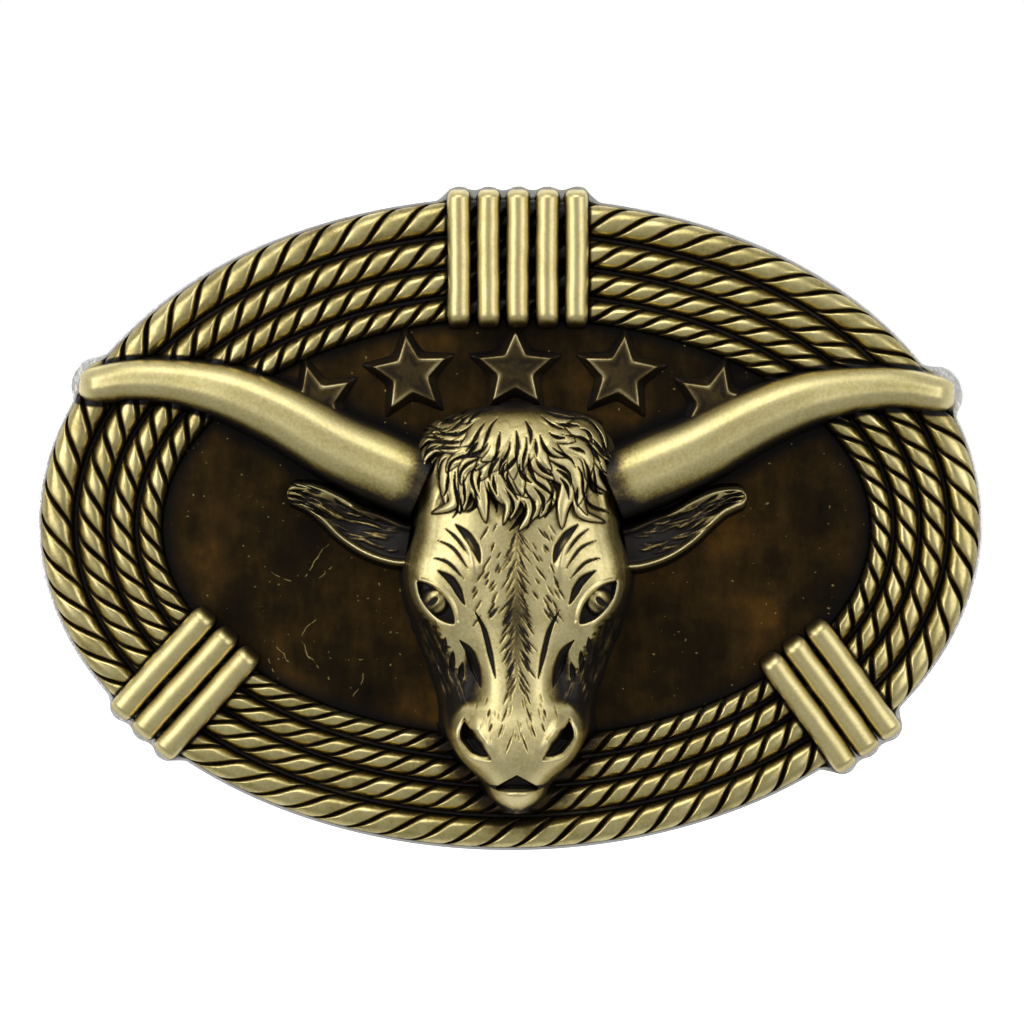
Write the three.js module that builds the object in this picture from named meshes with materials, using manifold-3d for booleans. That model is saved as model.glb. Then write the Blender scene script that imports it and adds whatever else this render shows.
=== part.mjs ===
// A western oval belt buckle for a 38 mm strap.
//
// A bowed base plate carries a dark field panel, four concentric rope borders, three sets of
// wrap bars that bind the ropes, a row of stars and a longhorn steer mask with its horns and
// ears.  On the back are a blank pad, a hook for the strap's holes, and a swinging wire bail
// whose pin ends turn in two brazed lugs.
//
// Frame, in millimetres: +X to the right of a person looking at the front, +Z up, and +Y
// towards the wearer.  The origin is the centre of the flat pad on the back.  "Depth" is the
// distance forward of the pad, along -Y, before the plate's bow is added.

import * as THREE from 'three';
import { mergeVertices } from 'three/addons/utils/BufferGeometryUtils.js';
import Module from 'manifold-3d';

const wasm = await Module();
wasm.setup();

// ---- Driving dimensions ----
const OUTER_OVAL = { x: 0, z: 0, a: 49, b: 33.8 };            // edge of the base plate
const INNER_OVAL = { x: 0.65, z: -0.5, a: 36.65, b: 21.6 };   // edge of the field panel
const BOW = 3.0;                // how far the plate's two ends curve towards the wearer
const GAP = 0.3;                // clearance between seated pieces
const MASK_X = 0.7;             // the mask's line of symmetry
const STRAP_WIDTH = 38;

// ---- Depths of the layers ----
const PLATE_BACK = 0.6;
const PLATE_FRONT = 2.4;
const LIP_BACK = 0.2;
const PANEL_FRONT = 3.2;
const ROPE_TOP = 4.7;
const SEAT = PLATE_FRONT + GAP;           // what rests on the plate
const PANEL_SEAT = PANEL_FRONT + GAP;     // what rests on the panel
const ROPE_SEAT = ROPE_TOP + GAP;         // what rests on the ropes

// ---- Facets ----
const PLATE_SEGMENTS = 72;
const OVAL_SEGMENTS = 48;
const ROUND_SEGMENTS = 16;
const WIRE_SIDES = 8;
const WIRE_STEPS = 64;
const LIMB_SIDES = 12;
const MASK_SIDES = 16;
const CAP_CENTRE_LIFT = 0.4;    // where the middle of a domed body's end lies, of its height

// ---- Back pad and strap fittings ----
const PAD = { halfWidth: 13, halfHeight: 8 };
const HINGE = { x: 21, y: 5.2 };
const WIRE_RADIUS = 1.3;
const WIRE_CLEARANCE = 0.15;
const BAIL = {
  barX: 33, armZ: (STRAP_WIDTH + 0.4) / 2 + WIRE_RADIUS, pinEndZ: 14.4, hingeBend: 1.8, barBend: 3.5,
};
const LUG = { z: 16.5, thickness: 3.8, headRadius: 3, footHalf: 3.9 };
const HOOK = { x: -33, flangeRadius: 4.4, flangeHeight: 1.2, height: 8.4, lean: 2.4 };

// ---- Rope borders: middle and half width, in rings from the inner oval (1) to the outer (2) ----
const ROPES = [
  { name: 'rope_outer', ring: 1.835, half: 0.13 },
  { name: 'rope_second', ring: 1.565, half: 0.118 },
  { name: 'rope_third', ring: 1.3225, half: 0.105 },
  { name: 'rope_inner', ring: 1.0975, half: 0.0975 },
];

// ---- Wrap bars: middle of each set, the way its outer ends point, and its bars ----
const WRAPS = [
  { name: 'top_wrap', x: 0.8, z: 27.2, degrees: 90, count: 5, pitch: 3.03, length: 14.4, width: 2.4 },
  {
    name: 'left_wrap', x: -33.5, z: -16.45, degrees: -132, count: 3, pitch: 3.05, length: 14.5, width: 2.7,
  },
  {
    name: 'right_wrap', x: 33.05, z: -17.75, degrees: -54, count: 3, pitch: 2.9, length: 14.6, width: 2.6,
  },
];
const BAR = { crown: 6.1, innerLeg: 0.3, outerLeg: 0.5 };

// ---- Stars; out, z and tilt are given from the middle star outwards ----
const STAR = {
  radius: 3.8, waist: 0.46, height: 0.9, bevel: 0.35,
  x: 0.55, out: [0, 10.85, 20.6], z: [15.8, 15.35, 12.4], tilt: [0, 6.5, 14],
};

// ---- The steer, right half; the left half mirrors it in MASK_X ----
// Horn stations: distance from MASK_X, height z, width.
const HORN = [
  [45.4, 13.2, 2.6], [44.6, 13.3, 3.4], [40.2, 13.9, 4.1], [35.2, 13.8, 4.6], [29.6, 12.7, 5.6],
  [24.4, 10.6, 6.2], [18.4, 7.4, 6.8], [12.4, 4.8, 7.2],
];
const HORN_LIFT = 1.0;          // the left tip stands this much higher than the right
const HORN_ROUNDNESS = 0.62;    // height over width
// Ear stations: distance from MASK_X, height z, width, thickness.
const EAR = [
  [23.6, 2.75, 1.0, 1.0], [22.4, 2.55, 2.4, 1.8], [20.8, 2.1, 3.1, 2.0], [19.0, 1.0, 3.7, 1.7],
  [17.0, -0.5, 4.3, 1.3], [14.8, -1.6, 4.8, 1.2], [13.2, -2.2, 4.7, 1.2],
];
const EAR_LIFT = 0.4;
// Mask stations: height z, half width, underside depth, crown depth.
const MASK = [
  [11.4, 4.0, PANEL_SEAT, 6.5], [10.2, 8.2, PANEL_SEAT, 8.6], [7.5, 10.0, PANEL_SEAT, 10.2],
  [3.0, 10.8, PANEL_SEAT, 11.2], [-1.5, 10.9, PANEL_SEAT, 11.6], [-5.0, 11.9, PANEL_SEAT, 11.4],
  [-9.0, 11.0, PANEL_SEAT, 11.0], [-13.0, 9.6, PANEL_SEAT, 10.6], [-17.0, 8.2, PANEL_SEAT, 10.6],
  [-19.5, 7.6, PANEL_SEAT, 11.4], [-20.8, 7.7, ROPE_SEAT, 11.8], [-23.0, 7.0, ROPE_SEAT, 12.0],
  [-25.5, 4.7, ROPE_SEAT, 11.4], [-27.5, 3.4, ROPE_SEAT, 10.2], [-29.4, 2.4, ROPE_SEAT, 8.0],
];

// ---- Finishes ----
const finish = (color, roughness) => new THREE.MeshStandardMaterial({ color, roughness, metalness: 1 });
const BRASS = finish(0xb6a660, 0.4);
const HORN_BRASS = finish(0xc2b26c, 0.34);
const DARK_BRASS = finish(0x5a4a26, 0.5);
const FIELD = finish(0x2a1a0c, 0.55);
const PLATE = finish(0xb9b4a4, 0.35);
const WIRE = finish(0xa8a088, 0.3);

const radians = THREE.MathUtils.degToRad;
const buckle = new THREE.Group();

// How far the bowed plate has curved towards the wearer at x, and its slope there.
const bow = (x) => BOW * (x / OUTER_OVAL.a) ** 2;
const bowAngle = (x) => Math.atan((2 * BOW * x) / OUTER_OVAL.a ** 2);

// A point at a turn round the ovals: ring 0 is the middle, 1 the inner oval, 2 the outer.
function ovalPoint(angle, ring) {
  const on = (oval, scale) => new THREE.Vector2(
    oval.x + scale * oval.a * Math.cos(angle),
    oval.z + scale * oval.b * Math.sin(angle),
  );
  return ring <= 1 ? on(INNER_OVAL, ring) : on(INNER_OVAL, 1).lerp(on(OUTER_OVAL, 1), ring - 1);
}

// The same geometry as one closed body: shared vertices merged, and its faces pointing out.
function closed(geometry) {
  const bare = geometry.clone();
  bare.deleteAttribute('normal');
  bare.deleteAttribute('uv');
  const merged = mergeVertices(bare, 1e-4);
  const position = merged.attributes.position;
  const index = merged.index.array;
  const corner = (i) => new THREE.Vector3().fromBufferAttribute(position, index[i]);
  let volume = 0;
  for (let i = 0; i < index.length; i += 3) {
    volume += corner(i).dot(corner(i + 1).cross(corner(i + 2))) / 6;
  }
  if (volume < 0) {
    for (let i = 0; i < index.length; i += 3) {
      [index[i], index[i + 1]] = [index[i + 1], index[i]];
    }
  }
  return merged;
}

// Move every vertex of a geometry by a function of its own place.
function reshape(geometry, move) {
  const position = geometry.attributes.position;
  const point = new THREE.Vector3();
  for (let i = 0; i < position.count; i++) {
    point.fromBufferAttribute(position, i);
    const moved = move(point);
    position.setXYZ(i, moved.x, moved.y, moved.z);
  }
  return closed(geometry);
}

// Place a front piece: plan position x and z, at a depth in front of the pad.
const onPlate = (x, depth, z) => new THREE.Vector3(x, bow(x) - depth, z);

// A profile of [ring, depth] points carried round the ovals.
function ovalBody(profile, segments, bulge = () => 0) {
  const points = profile.map(([ring, depth]) => new THREE.Vector2(ring, depth));
  return reshape(new THREE.LatheGeometry(points, segments), (p) => {
    const angle = Math.atan2(p.x, p.z);
    const ring = Math.hypot(p.x, p.z);
    const spread = ring <= 1 ? ring : 1 + (ring - 1) * (1 + bulge(angle));
    const plan = ovalPoint(angle, spread);
    return onPlate(plan.x, p.y, plan.y);
  });
}

// A body through D-shaped stations: place(row, across, lift) has across from -1 to 1 and
// lift from 0 on the flat underside to 1 on the crown.
function domedBody(rows, sides, place) {
  const shape = new THREE.CylinderGeometry(1, 1, 1, sides, rows - 1);
  return reshape(shape, (p) => {
    const row = Math.round((0.5 - p.y) * (rows - 1));
    const isCapCentre = Math.hypot(p.x, p.z) < 0.5;
    return place(row, p.x, isCapCentre ? CAP_CENTRE_LIFT : Math.max(p.z, 0));
  });
}

function addPiece(name, geometry, material, parent = buckle) {
  const mesh = new THREE.Mesh(geometry, material);
  mesh.name = name;
  parent.add(mesh);
  return mesh;
}

// ---- Joining solids ----
function toSolid(geometry) {
  return new wasm.Manifold(new wasm.Mesh({
    numProp: 3,
    vertProperties: Float32Array.from(geometry.attributes.position.array),
    triVerts: Uint32Array.from(geometry.index.array),
  }));
}

function toGeometry(solid) {
  const mesh = solid.getMesh();
  const geometry = new THREE.BufferGeometry();
  geometry.setAttribute('position', new THREE.BufferAttribute(mesh.vertProperties, 3));
  geometry.setIndex(new THREE.BufferAttribute(mesh.triVerts, 1));
  return geometry;
}

// ---- Base plate: it bulges round the horn tips and the wraps ----
const turnOf = (x, z) => Math.atan2(z / OUTER_OVAL.b, x / OUTER_OVAL.a);

// How far a bulge stands out, in rings, and the degrees over which it rises.
const BULGE_RISE = 0.11;
const BULGE_FADE = 5;
const HORN_TIP_REACH = 3;
const [hornTipOut, hornTipZ] = HORN[0];
const BULGES = [
  { angle: turnOf(MASK_X - hornTipOut, hornTipZ + HORN_LIFT), reach: HORN_TIP_REACH },
  { angle: turnOf(MASK_X + hornTipOut, hornTipZ), reach: HORN_TIP_REACH },
  ...WRAPS.map((wrap) => ({
    angle: turnOf(wrap.x + wrap.length * Math.cos(radians(wrap.degrees)) / 2,
      wrap.z + wrap.length * Math.sin(radians(wrap.degrees)) / 2),
    reach: 2 * wrap.count,
  })),
];

// The smaller turn between two angles, in degrees.
function degreesBetween(a, b) {
  const turn = THREE.MathUtils.euclideanModulo(a - b + Math.PI, 2 * Math.PI) - Math.PI;
  return THREE.MathUtils.radToDeg(Math.abs(turn));
}

function plateBulge(angle) {
  const rises = BULGES.map((bulge) => {
    const past = degreesBetween(angle, bulge.angle) - bulge.reach;
    return THREE.MathUtils.smoothstep(BULGE_FADE - past, 0, BULGE_FADE);
  });
  return BULGE_RISE * Math.max(...rises);
}

const plateShell = ovalBody([
  [0, PLATE_BACK], [0.35, PLATE_BACK], [0.7, PLATE_BACK], [1, PLATE_BACK], [1.9, PLATE_BACK],
  [1.92, LIP_BACK], [1.98, LIP_BACK], [2, LIP_BACK + 0.2], [2, PLATE_FRONT],
  [1, PLATE_FRONT], [0.7, PLATE_FRONT], [0.35, PLATE_FRONT], [0, PLATE_FRONT],
], PLATE_SEGMENTS, plateBulge);

const padRoot = 1.4;            // how deep the pad is rooted in the plate
const pad = new THREE.CylinderGeometry(1, 1, padRoot, 2 * ROUND_SEGMENTS);
pad.scale(PAD.halfWidth, 1, PAD.halfHeight);
pad.translate(0, -padRoot / 2, 0);
addPiece('base_plate', toGeometry(toSolid(plateShell).add(toSolid(closed(pad)))), PLATE);

// ---- Field panel, inside the ropes ----
const panelEdge = 0.984;
addPiece('field_panel', ovalBody([
  [0, SEAT], [0.35, SEAT], [0.7, SEAT], [panelEdge, SEAT],
  [panelEdge, PANEL_FRONT], [0.7, PANEL_FRONT], [0.35, PANEL_FRONT], [0, PANEL_FRONT],
], OVAL_SEGMENTS), FIELD);

// ---- Rope borders, each with a D-shaped section ----
for (const rope of ROPES) {
  const section = [[-1, 0], [-1, 0.55], [-0.5, 1], [0.5, 1], [1, 0.55], [1, 0], [-1, 0]];
  const profile = section.map(([across, lift]) => [
    rope.ring + across * rope.half,
    SEAT + lift * (ROPE_TOP - SEAT),
  ]);
  addPiece(rope.name, ovalBody(profile, OVAL_SEGMENTS), BRASS);
}

// A group seated on the bowed plate at x and z, tilted to lie along it.
function seatedGroup(x, z) {
  const seat = new THREE.Group();
  seat.position.set(x, bow(x), z);
  seat.rotation.z = bowAngle(x);
  buckle.add(seat);
  return seat;
}

// ---- Wrap bars: staples that bridge the ropes, with a leg at each end ----
function wrapBar(length, width) {
  const end = length / 2;
  // Distance along the bar from its inner end, underside depth, crown depth.
  const stations = [
    [-end, PANEL_SEAT, BAR.crown - 1.4],
    [-end + BAR.innerLeg, PANEL_SEAT, BAR.crown - 0.3],
    [-end + 1.5 * BAR.innerLeg, ROPE_SEAT, BAR.crown],
    [end - 1.4 * BAR.outerLeg, ROPE_SEAT, BAR.crown],
    [end - BAR.outerLeg, SEAT, BAR.crown - 0.2],
    [end, SEAT, BAR.crown - 1.2],
  ];
  return domedBody(stations.length, LIMB_SIDES, (row, across, lift) => {
    const [along, under, crown] = stations[row];
    return new THREE.Vector3(along, -(under + lift * (crown - under)), across * width / 2);
  });
}

for (const wrap of WRAPS) {
  const seat = seatedGroup(wrap.x, wrap.z);
  const turned = new THREE.Group();
  turned.rotation.y = -radians(wrap.degrees);
  seat.add(turned);
  const bar = wrapBar(wrap.length, wrap.width);
  const rightwards = -Math.sign(wrap.degrees);      // bars are numbered from left to right
  for (let i = 0; i < wrap.count; i++) {
    const mesh = addPiece(`${wrap.name}_${i + 1}`, bar, BRASS, turned);
    mesh.position.z = rightwards * (i - (wrap.count - 1) / 2) * wrap.pitch;
  }
}

// ---- Stars ----
const starShape = new THREE.Shape();
for (let i = 0; i < 10; i++) {
  const radius = i % 2 === 0 ? STAR.radius : STAR.radius * STAR.waist;
  const angle = radians(90 + 36 * i);
  starShape[i === 0 ? 'moveTo' : 'lineTo'](radius * Math.cos(angle), radius * Math.sin(angle));
}
const starGeometry = new THREE.ExtrudeGeometry(starShape, {
  depth: STAR.height - STAR.bevel, bevelThickness: STAR.bevel, bevelSize: STAR.bevel,
  bevelOffset: -STAR.bevel, bevelSegments: 1,
});
// The bevel is kept at the front only.
const starFront = reshape(starGeometry, (p) => new THREE.Vector3(
  p.x, -Math.max(p.z, 0), p.y,
));
for (let k = -2; k <= 2; k++) {
  const order = Math.abs(k);
  const seat = seatedGroup(STAR.x + Math.sign(k) * STAR.out[order], STAR.z[order]);
  const star = addPiece(`star_${k + 3}`, starFront, DARK_BRASS, seat);
  star.position.y = -PANEL_SEAT;
  star.rotation.y = radians(Math.sign(k) * STAR.tilt[order]);
}

// ---- Steer mask ----
addPiece('steer_head', domedBody(MASK.length, MASK_SIDES, (row, across, lift) => {
  const [z, half, under, crown] = MASK[row];
  return onPlate(MASK_X + across * half, under + lift * (crown - under), z);
}), BRASS);

// A tapering body along stations of [distance from MASK_X, z, width, thickness], on one side.
function sideLimb(stations, side, under, lift) {
  const reach = stations[0][0];
  const path = stations.map(([out, z]) => new THREE.Vector2(
    MASK_X + side * out,
    z + (side < 0 ? (lift * out) / reach : 0),
  ));
  return domedBody(stations.length, LIMB_SIDES, (row, across, rise) => {
    const before = path[Math.max(row - 1, 0)];
    const after = path[Math.min(row + 1, path.length - 1)];
    const along = after.clone().sub(before).normalize();
    const half = stations[row][2] / 2;
    const x = path[row].x - along.y * across * half;
    const z = path[row].y + along.x * across * half;
    return onPlate(x, under + rise * stations[row][3], z);
  });
}

const hornStations = HORN.map(([out, z, width]) => [out, z, width, width * HORN_ROUNDNESS]);
for (const [name, side] of [['left', -1], ['right', 1]]) {
  addPiece(`horn_${name}`, sideLimb(hornStations, side, ROPE_SEAT, HORN_LIFT), HORN_BRASS);
  addPiece(`ear_${name}`, sideLimb(EAR, side, PANEL_SEAT, EAR_LIFT), BRASS);
}

// ---- Bail lugs: tabs brazed to the back, bored for the wire ----
const plateBackY = (x) => bow(x) - PLATE_BACK;

function lugGeometry() {
  const foot = HINGE.y - plateBackY(HINGE.x) - GAP;
  const shape = new THREE.Shape();
  shape.moveTo(-LUG.footHalf, -foot);
  shape.lineTo(LUG.footHalf, -foot);
  shape.lineTo(LUG.footHalf, -foot + 0.8);
  shape.lineTo(LUG.headRadius, -foot + 2);
  shape.absarc(0, 0, LUG.headRadius, 0, Math.PI, false);
  shape.lineTo(-LUG.headRadius, -foot + 2);
  shape.lineTo(-LUG.footHalf, -foot + 0.8);
  const bore = new THREE.Path();
  bore.absarc(0, 0, WIRE_RADIUS + WIRE_CLEARANCE, 0, 2 * Math.PI, true);
  shape.holes.push(bore);
  return closed(new THREE.ExtrudeGeometry(shape, {
    depth: LUG.thickness, bevelEnabled: false, curveSegments: ROUND_SEGMENTS / 2,
  }));
}

const lug = lugGeometry();
for (const [name, side] of [['upper', 1], ['lower', -1]]) {
  const mesh = addPiece(`bail_lug_${name}`, lug, PLATE);
  mesh.position.set(HINGE.x, HINGE.y, side * LUG.z - LUG.thickness / 2);
  mesh.rotation.z = bowAngle(HINGE.x);
}

// ---- Belt bail: one bent wire; its turned-in ends are the hinge pins ----
function bailGeometry() {
  const at = (x, z) => new THREE.Vector3(x, HINGE.y, z);
  // Corners of the wire's centreline, each with its bend radius.
  const corners = [
    [HINGE.x, BAIL.armZ, BAIL.hingeBend], [BAIL.barX, BAIL.armZ, BAIL.barBend],
    [BAIL.barX, -BAIL.armZ, BAIL.barBend], [HINGE.x, -BAIL.armZ, BAIL.hingeBend],
  ];
  const path = new THREE.CurvePath();
  const pinEnd = at(HINGE.x, -BAIL.pinEndZ);
  let from = at(HINGE.x, BAIL.pinEndZ);
  corners.forEach(([x, z, radius], i) => {
    const corner = at(x, z);
    const next = i + 1 < corners.length ? at(...corners[i + 1]) : pinEnd;
    const start = corner.clone().add(from.clone().sub(corner).setLength(radius));
    const end = corner.clone().add(next.clone().sub(corner).setLength(radius));
    path.add(new THREE.LineCurve3(from, start));
    path.add(new THREE.QuadraticBezierCurve3(start, corner, end));
    from = end;
  });
  path.add(new THREE.LineCurve3(from, pinEnd));
  const section = new THREE.Shape();
  section.absarc(0, 0, WIRE_RADIUS, 0, 2 * Math.PI, false);
  return closed(new THREE.ExtrudeGeometry(section, {
    steps: WIRE_STEPS, extrudePath: path, curveSegments: WIRE_SIDES,
  }));
}
addPiece('belt_bail', bailGeometry(), WIRE);

// ---- Strap hook: a flange on the back and a stud that leans outwards ----
const hookSeat = new THREE.Group();
hookSeat.position.set(HOOK.x, plateBackY(HOOK.x) + GAP, 0);
hookSeat.rotation.z = bowAngle(HOOK.x);
buckle.add(hookSeat);

const lathed = (profile) => new THREE.LatheGeometry(
  profile.map(([r, y]) => new THREE.Vector2(r, y)), ROUND_SEGMENTS,
);
addPiece('hook_flange', closed(lathed([
  [0, 0], [HOOK.flangeRadius, 0], [HOOK.flangeRadius, 0.7], [3.6, HOOK.flangeHeight], [0, HOOK.flangeHeight],
])), PLATE, hookSeat);

const hookFoot = HOOK.flangeHeight + GAP;
addPiece('hook_stud', reshape(lathed([
  [0, 0], [2.5, 0], [2.2, 1], [2.1, 3], [2.0, 5], [2.0, 6.6], [1.7, 7.7],
  [0.9, HOOK.height - 0.1], [0, HOOK.height],
]), (p) => new THREE.Vector3(
  p.x - HOOK.lean * (p.y / HOOK.height) ** 2, p.y + hookFoot, p.z,
)), WIRE, hookSeat);

export default buckle;
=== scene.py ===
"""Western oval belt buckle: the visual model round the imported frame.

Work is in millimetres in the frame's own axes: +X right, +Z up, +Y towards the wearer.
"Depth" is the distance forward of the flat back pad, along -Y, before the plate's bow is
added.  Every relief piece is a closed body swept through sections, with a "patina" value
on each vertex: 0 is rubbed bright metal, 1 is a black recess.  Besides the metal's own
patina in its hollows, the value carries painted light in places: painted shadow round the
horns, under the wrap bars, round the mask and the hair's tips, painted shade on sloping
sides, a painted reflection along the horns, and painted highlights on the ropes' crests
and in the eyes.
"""
import math

import bpy
import numpy as np
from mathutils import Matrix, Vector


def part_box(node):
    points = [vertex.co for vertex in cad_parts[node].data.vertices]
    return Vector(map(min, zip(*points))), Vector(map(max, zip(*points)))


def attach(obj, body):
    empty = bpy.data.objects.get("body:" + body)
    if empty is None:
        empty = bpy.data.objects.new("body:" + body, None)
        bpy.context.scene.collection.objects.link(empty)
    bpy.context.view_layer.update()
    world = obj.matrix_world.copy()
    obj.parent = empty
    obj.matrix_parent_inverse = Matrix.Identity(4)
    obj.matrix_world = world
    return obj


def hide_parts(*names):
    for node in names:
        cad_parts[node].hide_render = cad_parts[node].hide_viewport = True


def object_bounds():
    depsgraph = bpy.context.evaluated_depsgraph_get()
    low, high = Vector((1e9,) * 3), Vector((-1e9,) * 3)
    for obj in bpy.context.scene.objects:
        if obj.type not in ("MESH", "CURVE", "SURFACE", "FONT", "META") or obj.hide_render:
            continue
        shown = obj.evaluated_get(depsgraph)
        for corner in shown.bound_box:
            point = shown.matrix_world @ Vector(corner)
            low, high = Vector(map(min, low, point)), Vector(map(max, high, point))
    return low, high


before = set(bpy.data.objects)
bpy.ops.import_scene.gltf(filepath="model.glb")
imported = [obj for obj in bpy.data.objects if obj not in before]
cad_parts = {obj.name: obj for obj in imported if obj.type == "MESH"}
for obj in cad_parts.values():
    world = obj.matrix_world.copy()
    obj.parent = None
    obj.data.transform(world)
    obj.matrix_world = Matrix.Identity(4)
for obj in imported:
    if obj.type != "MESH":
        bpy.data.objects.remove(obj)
cad_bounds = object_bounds()
rng = np.random.default_rng(7)

MM = 0.001
ROOT = "buckle"


def node_box(node):
    """A CAD node's lowest and highest corners, in millimetres."""
    low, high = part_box(node)
    return np.array(low) / MM, np.array(high) / MM


# ---- The plan: two ovals, and the bow of the plate ----
OUTER = {"x": 0.0, "z": 0.0, "a": 49.0, "b": 33.8}
INNER = {"x": 0.65, "z": -0.5, "a": 36.65, "b": 21.6}
BOW = 3.0
MASK_X = 0.7

# ---- Depths of the layers ----
PLATE_BACK = 0.6
PLATE_FRONT = 2.4
PANEL_FRONT = 3.2
ROPE_TOP = 4.7
WRAP_TOP = 6.2
SUNK = 0.3                      # how far the relief's feet go into what they stand on


def bow(x):
    return BOW * (x / OUTER["a"]) ** 2


def on_plate(x, depth, z):
    """Points at plan position x, z and a depth, on the bowed plate."""
    x, depth, z = np.broadcast_arrays(x, depth, z)
    return np.stack([x, bow(x) - depth, z], axis=-1)


def oval_point(angle, ring):
    """Plan point at a turn round the ovals: ring 0 is the middle, 1 the inner, 2 the outer."""
    ring = np.asarray(ring, dtype=float)
    inside = np.minimum(ring, 1.0)
    out = np.maximum(ring - 1.0, 0.0)
    ix = INNER["x"] + inside * INNER["a"] * np.cos(angle)
    iz = INNER["z"] + inside * INNER["b"] * np.sin(angle)
    ox = OUTER["x"] + OUTER["a"] * np.cos(angle)
    oz = OUTER["z"] + OUTER["b"] * np.sin(angle)
    return ix + (ox - ix) * out, iz + (oz - iz) * out


def smooth(low, high, value):
    """0 to 1 with soft ends as the value goes from low to high; low may be the larger."""
    t = np.clip((np.asarray(value, dtype=float) - low) / (high - low), 0, 1)
    return t * t * (3 - 2 * t)


def spline(x, xs, ys):
    """Smooth curve through the points (xs, ys), xs rising; ys may hold rows of values."""
    xs = np.asarray(xs, dtype=float)
    ys = np.asarray(ys, dtype=float)
    slope = np.diff(ys, axis=0) / np.diff(xs).reshape((-1,) + (1,) * (ys.ndim - 1))
    tangent = np.concatenate([slope[:1], (slope[:-1] + slope[1:]) / 2, slope[-1:]])
    x = np.clip(x, xs[0], xs[-1])
    i = np.clip(np.searchsorted(xs, x) - 1, 0, len(xs) - 2)
    shape = x.shape + (1,) * (ys.ndim - 1)
    gap = (xs[i + 1] - xs[i]).reshape(shape)
    t = (x - xs[i]).reshape(shape) / gap
    h00 = 2 * t**3 - 3 * t**2 + 1
    h10 = t**3 - 2 * t**2 + t
    h01 = 3 * t**2 - 2 * t**3
    h11 = t**3 - t**2
    return h00 * ys[i] + h10 * gap * tangent[i] + h01 * ys[i + 1] + h11 * gap * tangent[i + 1]


def arc_length(points):
    """Distance along a polyline to each of its points."""
    return np.concatenate([[0], np.cumsum(np.hypot(*np.diff(points, axis=0).T))])


def unit(vectors):
    return vectors / np.linalg.norm(vectors, axis=1, keepdims=True)


def turned_left(vectors):
    return np.stack([-vectors[:, 1], vectors[:, 0]], axis=1)


def rounded(inset, radius):
    """Height share, 0 to 1, of a rounded edge of the given radius at an inset from it."""
    return np.sqrt(1 - (1 - np.clip(inset / radius, 0, 1)) ** 2)


# ---- Meshes ----
def sweep(name, node, points, patina, material, closed_rows=False, body=ROOT):
    """A closed body in place of a CAD node, from a grid of points: each row is a closed section.

    The end sections are capped, or with closed_rows the last is joined to the first.
    """
    rows, cols = points.shape[:2]
    index = np.arange(rows * cols).reshape(rows, cols)
    if closed_rows:
        index = np.vstack([index, index[:1]])
    index = np.hstack([index, index[:, :1]])
    quads = np.stack([index[:-1, :-1], index[:-1, 1:], index[1:, 1:], index[1:, :-1]], axis=-1)
    faces = [tuple(q) for q in quads.reshape(-1, 4).tolist()]
    if not closed_rows:
        faces.append(tuple(range(cols))[::-1])
        faces.append(tuple(range((rows - 1) * cols, rows * cols)))
    mesh = bpy.data.meshes.new(name)
    mesh.from_pydata((points.reshape(-1, 3) * MM).tolist(), [], faces)
    value = mesh.attributes.new("patina", "FLOAT", "POINT")
    patina = np.clip(np.broadcast_to(patina, (rows, cols)), 0, 1)
    value.data.foreach_set("value", patina.reshape(-1).astype(np.float32))
    mesh.polygons.foreach_set("use_smooth", [True] * len(mesh.polygons))
    mesh.validate()
    if signed_volume(mesh) < 0:
        mesh.flip_normals()
    mesh.materials.append(material)
    piece = add_object(name, mesh)
    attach(piece, body)
    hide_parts(node)


def add_object(name, data):
    obj = bpy.data.objects.new(name, data)
    bpy.context.scene.collection.objects.link(obj)
    return obj


def between(feet, middle):
    """Sections that start at a left foot and end at a right one."""
    return np.concatenate([feet[:, :1], middle, feet[:, 1:]], axis=1)


def signed_volume(mesh):
    mesh.calc_loop_triangles()
    corners = np.empty(len(mesh.loop_triangles) * 3, dtype=np.int32)
    mesh.loop_triangles.foreach_get("vertices", corners)
    co = np.empty(len(mesh.vertices) * 3)
    mesh.vertices.foreach_get("co", co)
    tri = co.reshape(-1, 3)[corners.reshape(-1, 3)]
    return np.einsum("ij,ij->", tri[:, 0], np.cross(tri[:, 1], tri[:, 2]))


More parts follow.
